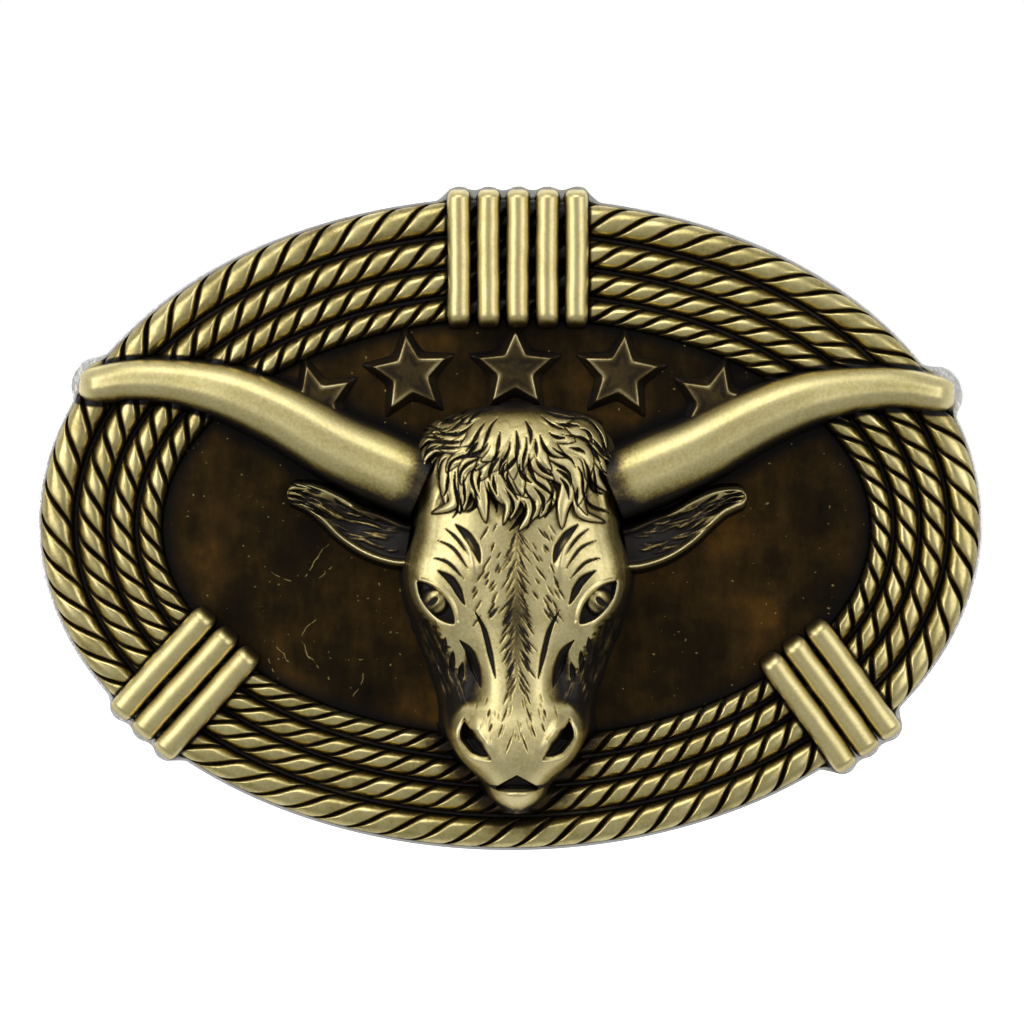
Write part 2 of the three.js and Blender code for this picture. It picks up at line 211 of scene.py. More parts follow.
# ---- Materials ----
class Nodes:
    """A short way to add nodes to a material or the world and join them up."""

    def __init__(self, owner):
        self.owner = owner
        owner.use_nodes = True
        self.tree = owner.node_tree
        self.shader = self.tree.nodes.get("Principled BSDF")

    def add(self, kind, inputs=None, **settings):
        node = self.tree.nodes.new(kind)
        for key, value in settings.items():
            setattr(node, key, value)
        for key, value in (inputs or {}).items():
            self.feed(node.inputs[key], value)
        return node

    def feed(self, socket, value):
        if isinstance(value, bpy.types.NodeSocket):
            self.tree.links.new(value, socket)
        else:
            socket.default_value = value

    def math(self, operation, a, b=0.0, clamp=False):
        node = self.add("ShaderNodeMath", {0: a, 1: b}, operation=operation, use_clamp=clamp)
        return node.outputs[0]

    def place(self):
        return self.add("ShaderNodeTexCoord").outputs["Object"]

    def patina(self):
        return self.add("ShaderNodeAttribute", attribute_name="patina").outputs["Fac"]

    def noise(self, scale, detail, rough, stretch=None):
        vector = self.place()
        if stretch:
            vector = self.add("ShaderNodeMapping", {"Vector": vector, "Scale": stretch}).outputs[0]
        node = self.add("ShaderNodeTexNoise", {
            "Vector": vector, "Scale": scale, "Detail": detail, "Roughness": rough})
        return node.outputs["Fac"]

    def ramp(self, value, stops):
        node = self.add("ShaderNodeValToRGB", {"Fac": value})
        elements = node.color_ramp.elements
        while len(elements) < len(stops):
            elements.new(0.5)
        for element, (position, color) in zip(elements, stops):
            element.position = position
            element.color = (*color, 1.0)
        return node.outputs["Color"]

    def blend(self, share, a, b):
        # Inputs 6 and 7 and output 2 of a Mix node are its colours.
        return self.add("ShaderNodeMix", {"Factor": share, 6: a, 7: b}, data_type="RGBA").outputs[2]

    def spread(self, value, low, high, to_low, to_high):
        node = self.add("ShaderNodeMapRange", {
            "Value": value, "From Min": low, "From Max": high, "To Min": to_low, "To Max": to_high})
        return node.outputs["Result"]

    def vary(self, noise, amount):
        """The noise as a signed change that spans the amount."""
        return self.spread(noise, 0.3, 0.7, -amount / 2, amount / 2)

    def bump(self, height, strength, distance):
        node = self.add("ShaderNodeBump", {
            "Height": height, "Strength": strength, "Distance": distance * MM})
        self.feed(self.shader.inputs["Normal"], node.outputs["Normal"])

    def set(self, **inputs):
        for key, value in inputs.items():
            self.feed(self.shader.inputs[key.replace("_", " ")], value)


def antique_metal(name, stops, rough, grain=0.10, mottle=0.16, mottle_scale=420.0,
                  bump_strength=0.25):
    """Metal whose colour runs through the stops with the patina, mottled and finely grained."""
    n = Nodes(bpy.data.materials.new(name))
    patina = n.patina()
    coarse = n.noise(mottle_scale, 5.0, 0.6)
    fine = n.noise(2900.0, 3.0, 0.6)
    uneven = n.math("ADD", n.vary(coarse, mottle), n.vary(fine, grain))
    worn = n.math("ADD", patina, uneven, clamp=True)
    n.set(Base_Color=n.ramp(worn, stops))
    n.set(Metallic=n.spread(worn, 0.55, 0.95, 1.0, 0.25), Specular_IOR_Level=0.25)
    n.set(Roughness=n.spread(n.math("ADD", worn, n.math("MULTIPLY", uneven, 1.5)), 0.0, 1.0, *rough))
    n.bump(n.math("ADD", fine, n.math("MULTIPLY", coarse, 0.6)), bump_strength, 0.03)
    return n.owner


# The patina, and the metal's colour there.
BRASS_STOPS = [
    (0.0, (0.82, 0.70, 0.34)), (0.22, (0.60, 0.50, 0.20)), (0.45, (0.28, 0.21, 0.075)),
    (0.68, (0.060, 0.040, 0.016)), (0.9, (0.006, 0.005, 0.005)),
]
HORN_STOPS = [
    (0.0, (0.82, 0.71, 0.36)), (0.25, (0.64, 0.54, 0.22)), (0.5, (0.32, 0.25, 0.09)),
    (0.7, (0.09, 0.068, 0.036)), (0.9, (0.016, 0.014, 0.012)),
]
MASK_STOPS = [
    (0.0, (0.84, 0.72, 0.37)), (0.22, (0.62, 0.52, 0.22)), (0.45, (0.30, 0.23, 0.09)),
    (0.68, (0.080, 0.058, 0.030)), (0.9, (0.014, 0.012, 0.010)),
]
STAR_STOPS = [
    (0.0, (0.74, 0.64, 0.38)), (0.25, (0.42, 0.34, 0.16)), (0.5, (0.13, 0.09, 0.035)),
    (0.75, (0.035, 0.024, 0.012)), (0.95, (0.010, 0.008, 0.008)),
]


def plate_metal(name):
    """The cast plate: pale polished metal at the rim, browner and rougher in the middle."""
    n = Nodes(bpy.data.materials.new(name))
    patina = n.patina()
    cast = n.noise(900.0, 6.0, 0.65)
    cloud = n.noise(70.0, 4.0, 0.55)
    pits = n.spread(cast, 0.30, 0.42, 0.16, 0.0)
    worn = n.math("ADD", patina, n.vary(cloud, 0.32), clamp=True)
    worn = n.math("ADD", worn, n.math("MULTIPLY", pits, patina), clamp=True)
    n.set(Base_Color=n.ramp(worn, [
        (0.0, (0.94, 0.92, 0.88)), (0.3, (0.52, 0.47, 0.34)), (0.6, (0.30, 0.25, 0.15)),
        (0.95, (0.02, 0.015, 0.01))]))
    n.set(Metallic=n.spread(worn, 0.6, 1.0, 1.0, 0.3))
    n.set(Roughness=n.spread(n.math("ADD", worn, n.math("MULTIPLY", cast, 0.3)), 0.1, 1.0, 0.2, 0.6))
    n.bump(cast, 0.45, 0.16)
    return n.owner


def wire_metal(name):
    """Drawn wire: bright, with fine marks along it and dull in the bends."""
    n = Nodes(bpy.data.materials.new(name))
    patina = n.patina()
    marks = n.noise(2600.0, 3.0, 0.6, stretch=(1.0, 1.0, 0.08))
    cloud = n.noise(160.0, 3.0, 0.5)
    worn = n.math("ADD", patina, n.vary(cloud, 0.2), clamp=True)
    n.set(Base_Color=n.ramp(worn, [
        (0.0, (0.72, 0.68, 0.56)), (0.5, (0.45, 0.40, 0.27)), (1.0, (0.07, 0.055, 0.035))]))
    n.set(Metallic=1.0)
    n.set(Roughness=n.spread(marks, 0.3, 0.7, 0.22, 0.4))
    n.bump(marks, 0.2, 0.03)
    return n.owner


FIELD_SCRATCHES = 9


def field_metal(name):
    """The dark field: brown-black patina with rust patches, specks and a few fine scratches."""
    n = Nodes(bpy.data.materials.new(name))
    patina = n.patina()
    cloud = n.noise(75.0, 7.0, 0.68)
    streak = n.noise(150.0, 5.0, 0.6, stretch=(1.6, 1.0, 0.5))
    tone = n.math("ADD", n.math("MULTIPLY", cloud, 0.65), n.math("MULTIPLY", streak, 0.35))
    color = n.ramp(tone, [
        (0.36, (0.007, 0.005, 0.003)), (0.455, (0.018, 0.011, 0.0035)),
        (0.54, (0.042, 0.023, 0.0055)), (0.65, (0.108, 0.050, 0.008))])
    edge = n.blend(n.spread(patina, 0.0, 1.0, 0.0, 0.95), color, (0.006, 0.006, 0.006, 1))
    specks = n.spread(n.noise(1900.0, 1.0, 0.5), 0.745, 0.79, 0.0, 0.55)
    scratch = n.math("MAXIMUM", scratches(n), specks)
    n.set(Base_Color=n.blend(scratch, edge, (0.50, 0.38, 0.14, 1)))
    n.set(Metallic=n.math("ADD", 0.3, n.math("MULTIPLY", scratch, 0.6)), Specular_IOR_Level=0.06)
    fine = n.noise(3500.0, 3.0, 0.6)
    n.set(Roughness=n.spread(n.math("ADD", cloud, n.math("MULTIPLY", fine, 0.4)), 0.4, 1.0, 0.3, 0.5))
    n.bump(n.math("ADD", fine, n.math("MULTIPLY", cloud, 0.5)), 0.25, 0.04)
    return n.owner


def scratches(n):
    """Fine hooked scratches on the left half of the field, as 0 to 1."""
    where = n.place()
    wobble = n.add("ShaderNodeTexNoise", {"Vector": where, "Scale": 420.0, "Detail": 3.0})
    bent = n.add("ShaderNodeVectorMath", {0: wobble.outputs["Color"], 1: (0.0016, 0.0, 0.0016)},
                 operation="MULTIPLY").outputs[0]
    moved = n.add("ShaderNodeVectorMath", {0: where, 1: bent}, operation="ADD").outputs[0]
    split = n.add("ShaderNodeSeparateXYZ", {0: moved})
    x, z = split.outputs["X"], split.outputs["Z"]
    broken = n.spread(n.noise(1500.0, 2.0, 0.5), 0.42, 0.55, 0.0, 1.0)
    total = None
    for _ in range(FIELD_SCRATCHES):
        at = (rng.uniform(-27, -13) * MM, rng.uniform(-16, -3) * MM)
        heading = rng.uniform(-1.2, -0.5) if rng.random() < 0.7 else rng.uniform(0.4, 1.2)
        length = rng.uniform(0.6, 2.2) * MM
        dx = n.math("SUBTRACT", x, at[0])
        dz = n.math("SUBTRACT", z, at[1])
        along = n.math("ADD", n.math("MULTIPLY", dx, math.cos(heading)),
                       n.math("MULTIPLY", dz, math.sin(heading)))
        across = n.math("SUBTRACT", n.math("MULTIPLY", dz, math.cos(heading)),
                        n.math("MULTIPLY", dx, math.sin(heading)))
        near = n.spread(n.math("ABSOLUTE", across), 0.01 * MM, 0.07 * MM, 0.8, 0.0)
        within = n.spread(n.math("ABSOLUTE", along), 0.9 * length, length, 1.0, 0.0)
        line = n.math("MULTIPLY", near, within)
        total = line if total is None else n.math("MAXIMUM", total, line)
    return n.math("MULTIPLY", total, broken)


ROPE_METAL = antique_metal("rope_brass", BRASS_STOPS, rough=(0.30, 0.42), grain=0.14, mottle=0.28)
WRAP_METAL = antique_metal("wrap_brass", BRASS_STOPS, rough=(0.40, 0.45), grain=0.14, mottle=0.12)
MASK_METAL = antique_metal("mask_brass", MASK_STOPS, rough=(0.40, 0.42), grain=0.20,
                           bump_strength=0.35)
HORN_METAL = antique_metal("horn_brass", HORN_STOPS, rough=(0.42, 0.42), grain=0.22, mottle=0.12,
                           mottle_scale=300.0, bump_strength=0.35)
STAR_METAL = antique_metal("star_brass", STAR_STOPS, rough=(0.36, 0.36), mottle=0.22)
PLATE_METAL = plate_metal("plate_metal")
FIELD_METAL = field_metal("dark_field")
WIRE_METAL = wire_metal("wire")


# ---- Wrap bars ----
class Wrap:
    """A set of parallel bars: its middle, the way its outer ends point, and its bars."""

    def __init__(self, name, x, z, degrees, count, pitch, length, width):
        self.name, self.x, self.z, self.count = name, x, z, count
        self.pitch, self.length, self.width = pitch, length, width
        self.out = np.array([math.cos(math.radians(degrees)), math.sin(math.radians(degrees))])
        rightwards = -math.copysign(1, degrees)
        self.side = np.array([-self.out[1], self.out[0]]) * rightwards

    def plan(self, along, across):
        x = self.x + along * self.out[0] + across * self.side[0]
        z = self.z + along * self.out[1] + across * self.side[1]
        return x, z

    def local(self, x, z):
        dx, dz = x - self.x, z - self.z
        return dx * self.out[0] + dz * self.out[1], dx * self.side[0] + dz * self.side[1]

    def offsets(self):
        return (np.arange(self.count) - (self.count - 1) / 2) * self.pitch


WRAPS = [
    Wrap("top_wrap", 0.8, 27.2, 90, 5, 3.03, 14.4, 2.4),
    Wrap("left_wrap", -33.5, -16.45, -132, 3, 3.05, 14.5, 2.7),
    Wrap("right_wrap", 33.05, -17.75, -54, 3, 2.9, 14.6, 2.6),
]


BAR_ROWS = 90
BAR_COLUMNS = 28
BAR_SHOULDER = 4.6              # depth at which a bar's sides turn into its dome
BAR_END_TOP = 3.4
BAR_SKIRT = 0.15                # how far its foot stands out beyond its sides
BAR_ROUNDING = (1.5, 1.0)       # radii of its inner and outer ends


def build_wraps():
    for wrap in WRAPS:
        for i, offset in enumerate(wrap.offsets()):
            build_bar(f"{wrap.name}_{i + 1}", wrap, offset)


def build_bar(name, wrap, offset):
    """A half-round bar over the ropes, its ends rounded down to the plate and the panel."""
    half = wrap.length / 2
    t = np.linspace(-1, 1, BAR_ROWS)
    along = half * np.sin(t * np.pi / 2)[:, None]
    from_inner = along + half
    from_outer = half - along
    ends = np.minimum(rounded(from_inner, BAR_ROUNDING[0]), rounded(from_outer, BAR_ROUNDING[1]))
    taper = 0.35 + 0.65 * ends
    phase = rng.uniform(0, 6.28, 3)
    wave = 0.03 * np.sin(along * 0.45 + phase[0]) + 0.012 * np.sin(along * 1.9 + phase[1])
    width = wrap.width / 2 * taper * (1 + 0.012 * np.sin(along * 1.3 + phase[2]))
    a = np.linspace(0, np.pi, BAR_COLUMNS)[None, :]
    across = -np.cos(a)
    dome = np.sin(a) ** 0.8
    crown = WRAP_TOP + 0.02 * np.sin(along * 1.1 + phase[1])
    crown = crown * ends + BAR_END_TOP * (1 - ends)
    side_top = np.minimum(BAR_SHOULDER, crown - 0.1)
    depth = side_top + (crown - side_top) * dome
    x, z = wrap.plan(along, offset + wave + across * width)
    floor = np.where(along < 0, PANEL_FRONT, PLATE_FRONT)
    foot_x, foot_z = wrap.plan(along, offset + wave + across[:, [0, -1]] * (width + BAR_SKIRT))
    points = between(on_plate(foot_x, floor, foot_z), on_plate(x, depth, z))
    # Patina at the bars' feet; painted shade on the inner end as it slopes down to the panel, and a
    # little on the outer end where it drops to the rim.
    dark = smooth(0.93, 1.0, np.abs(across)) * 0.9 + 0.03
    dark = np.maximum(dark, 0.85 * smooth(1.3, 0.0, from_inner) ** 1.5)
    dark = np.maximum(dark, 0.35 * smooth(0.7, 0.0, from_outer))
    patina = between(np.ones((BAR_ROWS, 2)), dark)
    sweep(name, name, points, patina, WRAP_METAL)


# ---- The steer's stations, right half; the left half mirrors it in MASK_X ----
HORN = np.array([
    [45.3, 13.1, 0.9], [45.15, 13.1, 1.9], [44.8, 13.15, 2.8], [44.1, 13.25, 3.4], [43.0, 13.4, 3.7],
    [40.2, 13.9, 4.1], [35.2, 13.8, 4.6], [29.6, 12.7, 5.6], [24.4, 10.6, 6.2], [18.4, 7.4, 6.8],
    [12.4, 4.8, 7.2], [9.6, 3.6, 7.0],
])
HORN_LIFT = 1.0                 # how much higher the left horn's tip sits
HORN_ROWS = 220
HORN_COLUMNS = 44
HORN_HEIGHT = 0.62              # share of its width
HORN_TIP_ROUNDING = 2.2
COARSE_COUNT = 60               # points on a horn's line where only distances to it are needed
SIDES = np.array([[-1.0, 1.0]])


def limb(stations, side, left_lift, count, crowding):
    """A horn or ear's line from tip to root: middle and width, heading, upward normal, distance."""
    path = stations.copy()
    path[:, 0] = MASK_X + side * stations[:, 0]
    if side < 0:
        path[:, 1] += left_lift
    steps = arc_length(path[:, :2])
    s = np.linspace(0, 1, count) ** crowding * steps[-1]
    line = spline(s, steps, path)
    heading = unit(np.gradient(line[:, :2], s, axis=0))
    return line, heading, turned_left(heading) * -side, s


def limb_plan(line, normal, across, half):
    """Plan points at shares of the half width above and below a limb's middle."""
    return (line[:, 0:1] + normal[:, 0:1] * across * half,
            line[:, 1:2] + normal[:, 1:2] * across * half)


def horn_plan(side, count):
    """A horn's line from tip to root: middle and width, upward normal, distance."""
    line, _, normal, s = limb(HORN, side, HORN_LIFT * HORN[:, 0] / HORN[0, 0], count, 1.3)
    return line, normal, s


def horn_distance(x, z):
    """How far plan points are outside either horn's edge, in millimetres."""
    best = np.full(np.shape(x), 99.0)
    for side in (-1, 1):
        curve, _, _ = horn_plan(side, COARSE_COUNT)
        for px, pz, width in curve:
            best = np.minimum(best, np.hypot(x - px, z - pz) - width / 2)
    return best


def mask_distance(x, z):
    """How far plan points are outside the lower half of the steer's mask, in millimetres."""
    low, _, _ = HEAD_STATIONS[0]
    heights = [station[0] for station in HEAD_STATIONS]
    halves = [station[1] for station in HEAD_STATIONS]
    sideways = np.abs(x - MASK_X) - np.interp(z, heights, halves)
    below = np.hypot(np.maximum(np.abs(x - MASK_X) - halves[0], 0), np.maximum(low - z, 0))
    return np.where(z < low, below, np.where(z < 0, 0.85 * sideways, 99.0))


def build_horn(name, side):
    curve, normal, s = horn_plan(side, HORN_ROWS)
    a = np.linspace(0, np.pi, HORN_COLUMNS)[None, :]
    across = -np.cos(a)
    width = curve[:, 2:3]
    tip = rounded(s[:, None], HORN_TIP_ROUNDING)
    half = width / 2
    rise = HORN_HEIGHT * width * (0.35 + 0.65 * tip)
    base = 3.2 + 1.1 * tip + 0.5 * smooth(30, 40, s[:, None])
    # A faint hollow runs along the horn between two soft crests.
    dome = np.sin(a) ** 0.85 * (1 - 0.035 * np.exp(-((across - 0.05) / 0.22) ** 2))
    depth = base + rise * dome
    x, z = limb_plan(curve, normal, across, half)
    skirt = 0.1 + 0.45 * smooth(1.0, 6.0, s)[:, None]
    foot_x, foot_z = limb_plan(curve, normal, SIDES, half + skirt)
    points = between(on_plate(foot_x, PANEL_FRONT - 0.4, foot_z), on_plate(x, depth, z))
    lower = -across
    # Painted shade along the horn's lower and upper edges, and a painted reflection: a faint darker
    # line along the middle.
    dark = 0.10 + 0.80 * smooth(0.72, 0.97, lower) + 0.75 * smooth(0.86, 1.0, -lower)
    dark = dark + 0.10 * np.exp(-((across - 0.05) / 0.16) ** 2)
    # Painted shade near the root, on the lower side and along the upper edge by the head.
    from_root = s[-1] - s[:, None]
    dark = dark + 0.65 * smooth(0.25, 0.9, lower) * smooth(13.0, 2.0, from_root)
    dark = dark + 0.45 * smooth(0.1, 0.9, -lower) * smooth(6.5, 1.0, from_root)
    dark = dark + 0.6 * smooth(2.7, 0.6, from_root)
    # Less painted shade at the tip, on its top and at its feet.
    at_tip = smooth(5.0, 1.5, s[:, None])
    edge = 1 - 0.8 * at_tip
    patina = between(np.hstack([edge, edge]), dark * (1 - 0.6 * at_tip))
    sweep(name, name, points, patina, HORN_METAL)


# ---- Rope borders ----
# Middle and half width in rings, and the pitch of the twist in millimetres.
ROPES = [
    ("rope_outer", 1.835, 0.13, 3.35), ("rope_second", 1.565, 0.118, 2.8),
    ("rope_third", 1.3225, 0.105, 2.7), ("rope_inner", 1.0975, 0.0975, 2.45),
]
ROPE_STEP = 0.17
ROPE_COLUMNS = 30
ROPE_SLANT = 1.10
OUTERMOST = 1.7                 # the ring beyond which there is only the outermost rope
GROOVE_RIM = 0.31               # millimetres from a groove's middle to the strand's full height


def build_rope(name, ring, half, pitch):
    """A laid rope round the ovals: slanted S-shaped strands with black grooves between them."""
    turns = np.linspace(0, 2 * np.pi, 4000)
    length = arc_length(np.column_stack(oval_point(turns, ring)))
    rows = int(length[-1] / ROPE_STEP)
    s = np.arange(rows) / rows * length[-1]
    angle = np.interp(s, length, turns)[:, None]
    strands = round(length[-1] / pitch)
    lay = length[-1] / strands
    v = np.sin(np.linspace(-np.pi / 2, np.pi / 2, ROPE_COLUMNS))[None, :]
    sides = np.subtract(oval_point(angle, ring + half), oval_point(angle, ring - half))
    width = 0.5 * np.hypot(*sides)
    slant = ROPE_SLANT * width * np.arcsin(np.clip(v, -1, 1))
    phase = (s[:, None] + slant) / lay
    part = phase - np.floor(phase)
    strand = np.floor(phase).astype(int) % strands
    jitter = rng.uniform(-1, 1, (3, strands))
    to_groove = np.minimum(part, 1 - part) * lay * 0.75
    groove = 1 - smooth(0.07 + 0.03 * jitter[0][strand], GROOVE_RIM, to_groove)
    # The outermost rope runs out to the rim, so its outer side stays bright.
    side = np.where((v > 0) & (ring > OUTERMOST), 0.86 * np.abs(v), np.abs(v))
    section = (1 - side ** 3.0) ** 0.6
    crown = 0.16 * (1 - (2 * part - 1) ** 2) + 0.20 * (0.5 - part)
    depth = PLATE_FRONT + (ROPE_TOP - 0.12 - PLATE_FRONT) * section
    depth = depth + section * (crown + 0.05 * jitter[1][strand] - 0.95 * groove)
    depth = np.maximum(depth, PLATE_FRONT + 0.02)
    x, z = oval_point(angle, ring + v * half)
    top = on_plate(x, depth, z)
    under = on_plate(x[:, [-1, 0]], np.full((rows, 2), PLATE_FRONT - SUNK), z[:, [-1, 0]])
    dark = np.maximum(groove ** 0.7, smooth(0.84, 0.97, side))
    # Darker towards each strand's sides: patina, and partly a painted highlight that leaves only the
    # crest bright.
    dark = np.maximum(dark, 0.15 + 0.22 * side ** 2 + 0.07 * jitter[2][strand])
    # Painted shade on the ropes round the mask's lower half.
    dark = np.maximum(dark, 0.8 * smooth(4.2, 0.4, mask_distance(x, z)))
    # Painted shade on the ropes under and between the wrap bars.
    for wrap in WRAPS:
        along, across = wrap.local(x, z)
        reach = wrap.pitch * (wrap.count - 1) / 2 + wrap.width / 2
        dark = np.maximum(dark, smooth(reach + 0.5, reach + 0.1, np.abs(across))
                          * smooth(wrap.length / 2 + 1, wrap.length / 2, np.abs(along)))
    # Painted shadow on the ropes along the horns' edges.
    dark = np.maximum(dark, smooth(0.75, 0.25, horn_distance(x, z)))
    points = np.concatenate([top, under], axis=1)
    patina = np.concatenate([dark, np.ones((rows, 2))], axis=1)
    sweep(name, name, points, patina, ROPE_METAL, closed_rows=True)


# ---- Base plate and field panel ----
# How far in from a horn's tip its bulge is centred, and how far the bulges pass bars and tips.
TIP_KNOB = 1.9
BAR_BULGE = 0.55
TIP_BULGE = 1.15


def plate_edge(angle):
    """The ring of the plate's edge: the outer oval, bulging round each bar's end and horn tip."""
    knobs = []
    for wrap in WRAPS:
        for offset in wrap.offsets():
            x, z = wrap.plan(wrap.length / 2 - wrap.width / 2, offset)
            knobs.append((x, z, wrap.width / 2 + BAR_BULGE))
    for side in (-1, 1):
        curve, _, s = horn_plan(side, COARSE_COUNT)
        x, z, width = curve[np.searchsorted(s, TIP_KNOB)]
        knobs.append((x, z, width / 2 + TIP_BULGE))
    ring = np.full(angle.shape, 2.0)
    for step in np.linspace(2.0, 2.2, 61):
        x, z = oval_point(angle, step)
        inside = np.zeros(angle.shape, dtype=bool)
        for kx, kz, radius in knobs:
            inside |= np.hypot(x - kx, z - kz) < radius
        ring[inside] = step
    kernel = np.ones(5) / 5
    return np.convolve(np.concatenate([ring[-2:], ring, ring[:2]]), kernel, "valid")


PAD_HALVES = (13.0, 8.0)
PAD_RINGS = 10
PAD_FOOT = (1.02, 1.03)         # where the pad's wall meets the back, as shares of its halves
PLATE_COLUMNS = 960
RIM_TOP = 2.85
BACK_RINGS = 30
# The rim from the back's edge round to the front: share of the way out, depth, patina.
RIM = [
    (0.945, PLATE_BACK, 0.6), (0.952, 0.35, 0.35), (0.960, 0.22, 0.2), (0.975, 0.2, 0.15),
    (0.990, 0.3, 0.1), (0.998, 0.6, 0.05), (1.0, 1.1, 0.0), (1.0, 1.9, 0.0), (0.9985, 2.4, 0.0),
    (0.995, 2.7, 0.0), (0.990, RIM_TOP, 0.0), (0.984, RIM_TOP, 0.0), (0.978, 2.75, 0.05),
    (0.972, 2.6, 0.3), (0.967, PLATE_FRONT, 0.9),
]


def build_plate():
    """The bowed plate: a flat raised pad amid the back, a rolled rim, and a plain front."""
    angle = np.linspace(0, 2 * np.pi, PLATE_COLUMNS, endpoint=False)
    edge = plate_edge(angle)
    rings = []

    def add_ring(x, z, y, dark):
        rings.append((np.stack([x, y + 0.0 * x, z], axis=-1), dark + 0.0 * x))

    pad_x = PAD_HALVES[0] * np.cos(angle)
    pad_z = PAD_HALVES[1] * np.sin(angle)
    for share in np.linspace(0.01, 0.985, PAD_RINGS):
        add_ring(pad_x * share, pad_z * share, 0.0, 0.34)
    add_ring(pad_x, pad_z, -0.06, 0.1)
    add_ring(pad_x * 1.01, pad_z * 1.015, -0.3, 0.4)
    foot_x, foot_z = pad_x * PAD_FOOT[0], pad_z * PAD_FOOT[1]
    add_ring(foot_x, foot_z, bow(pad_x) - PLATE_BACK, 0.75)
    out_x, out_z = oval_point(angle, 1 + 2 * (RIM[0][0] - 0.5) * (edge - 1))
    for share in np.linspace(0, 1, BACK_RINGS)[1:-1]:
        x = foot_x + (out_x - foot_x) * share
        z = foot_z + (out_z - foot_z) * share
        add_ring(x, z, bow(x) - PLATE_BACK, 0.42)
    front = [(share, PLATE_FRONT, 1.0) for share in np.linspace(0.93, 0.52, 6)]
    for share, depth, dark in RIM + front:
        ring = 1 + 2 * (share - 0.5) * (edge - 1)
        x, z = oval_point(angle, ring)
        # A bulge is bright and as high as the rim wherever it stands clear of the outer rope.
        clear = smooth(1.955, 1.985, ring) * (depth >= PLATE_FRONT)
        raised = np.maximum(depth, depth + (RIM_TOP - depth) * clear)
        add_ring(x, z, bow(x) - raised, dark * (1 - clear))
    for ring in (0.6, 0.2, 0.01):
        x, z = oval_point(angle, ring)
        add_ring(x, z, bow(x) - PLATE_FRONT, 1.0)
    points = np.array([ring for ring, _ in rings])
    patina = np.array([dark for _, dark in rings])
    sweep("base_plate_cast", "base_plate", points, patina, PLATE_METAL)


def build_panel():
    """The dark field: a thin bowed sheet, its edge tucked under the inner rope."""
    turns = np.linspace(0, 2 * np.pi, 360, endpoint=False)[None, :]
    under = [(share, PLATE_FRONT + 0.1, 1.0) for share in np.linspace(0.01, 1.0, 6)]
    lip = [(1.004, PANEL_FRONT - 0.2, 1.0), (1.0, PANEL_FRONT + 0.02, 1.0),
           (0.99, PANEL_FRONT + 0.04, 1.0)]
    face = [(share, PANEL_FRONT, smooth(0.93, 1.0, share)) for share in np.linspace(0.975, 0.01, 70)]
    share, depth, dark = (column[:, None] for column in np.array(under + lip + face, dtype=float).T)
    x, z = oval_point(turns, share)
    # Painted shadow on the field round the horns.
    patina = np.maximum(dark, smooth(2.2, 0.6, horn_distance(x, z)))
    sweep("field_panel_dark", "field_panel", on_plate(x, depth, z), patina, FIELD_METAL)


# ---- Stars ----
STAR_HEIGHT = 1.15
STAR_ROW = {"radius": 3.8, "waist": 0.46, "x": 0.55, "out": [0, 10.85, 20.6],
            "z": [15.8, 15.35, 12.4], "tilt": [0, 6.5, 14]}


def star_outline(grow, per_edge, rounding):
    """A five-pointed outline with every edge moved out by grow, its corners rounded."""
    corners = []
    for i in range(10):
        radius = STAR_ROW["radius"] * (1 if i % 2 == 0 else STAR_ROW["waist"])
        turn = math.radians(90 + 36 * i)
        corners.append([radius * math.cos(turn), radius * math.sin(turn)])
    corners = np.array(corners)
    edges = np.roll(corners, -1, axis=0) - corners
    normal = np.stack([edges[:, 1], -edges[:, 0]], axis=1)
    normal /= np.linalg.norm(normal, axis=1, keepdims=True)
    before = np.roll(normal, 1, axis=0)
    mitre = normal + before
    mitre = mitre / np.sum(mitre * normal, axis=1, keepdims=True)
    limit = np.linalg.norm(mitre, axis=1, keepdims=True)
    mitre = mitre * np.minimum(1, 1.9 / limit) if grow > 0 else mitre
    moved = corners + mitre * grow
    t = np.linspace(0, 1, per_edge, endpoint=False)[:, None]
    points = np.concatenate([a + (b - a) * t for a, b in zip(moved, np.roll(moved, -1, axis=0))])
    for _ in range(rounding):
        points = (np.roll(points, 1, axis=0) + 2 * points + np.roll(points, -1, axis=0)) / 4
    return points


def build_star(k):
    order = abs(k)
    centre = (STAR_ROW["x"] + math.copysign(STAR_ROW["out"][order], k), STAR_ROW["z"][order])
    tilt = -math.copysign(math.radians(STAR_ROW["tilt"][order]), k)
    top = PANEL_FRONT + STAR_HEIGHT
    # The dark foot and walls are patina, and partly painted shade round the star.
    # How far the outline has moved out, depth, patina, rounding; from the foot to the middle.
    layers = [
        (0.85, PANEL_FRONT - SUNK, 1.0, 5), (0.82, PANEL_FRONT + 0.02, 0.85, 5),
        (0.55, PANEL_FRONT + 0.22, 0.72, 4), (0.20, top - 0.25, 0.66, 3),
        (0.06, top - 0.08, 0.34, 2), (-0.05, top, 0.18, 2), (-0.18, top, 0.30, 1),
        (-0.34, top - 0.03, 0.50, 1), (-0.6, top - 0.06, 0.61, 1),
    ]
    rings = []
    dark = []
    for grow, depth, patina, rounding in layers:
        plan = star_outline(grow, 14, rounding)
        rings.append(np.column_stack([plan, np.full(len(plan), depth)]))
        uneven = 0.11 * (1 + np.sin(3 * np.arctan2(plan[:, 1], plan[:, 0]) + 2.0 * k))
        dark.append(patina + uneven)
    innermost = rings[-1].copy()
    for share in (0.66, 0.33, 0.04):
        ring = innermost.copy()
        ring[:, :2] *= share
        rings.append(ring)
        dark.append(np.full(len(ring), 0.61))
    local = np.array(rings)
    x = centre[0] + local[..., 0] * math.cos(tilt) - local[..., 1] * math.sin(tilt)
    z = centre[1] + local[..., 0] * math.sin(tilt) + local[..., 1] * math.cos(tilt)
    name = f"star_{k + 3}"
    sweep(name, name, on_plate(x, local[..., 2], z), np.array(dark), STAR_METAL)


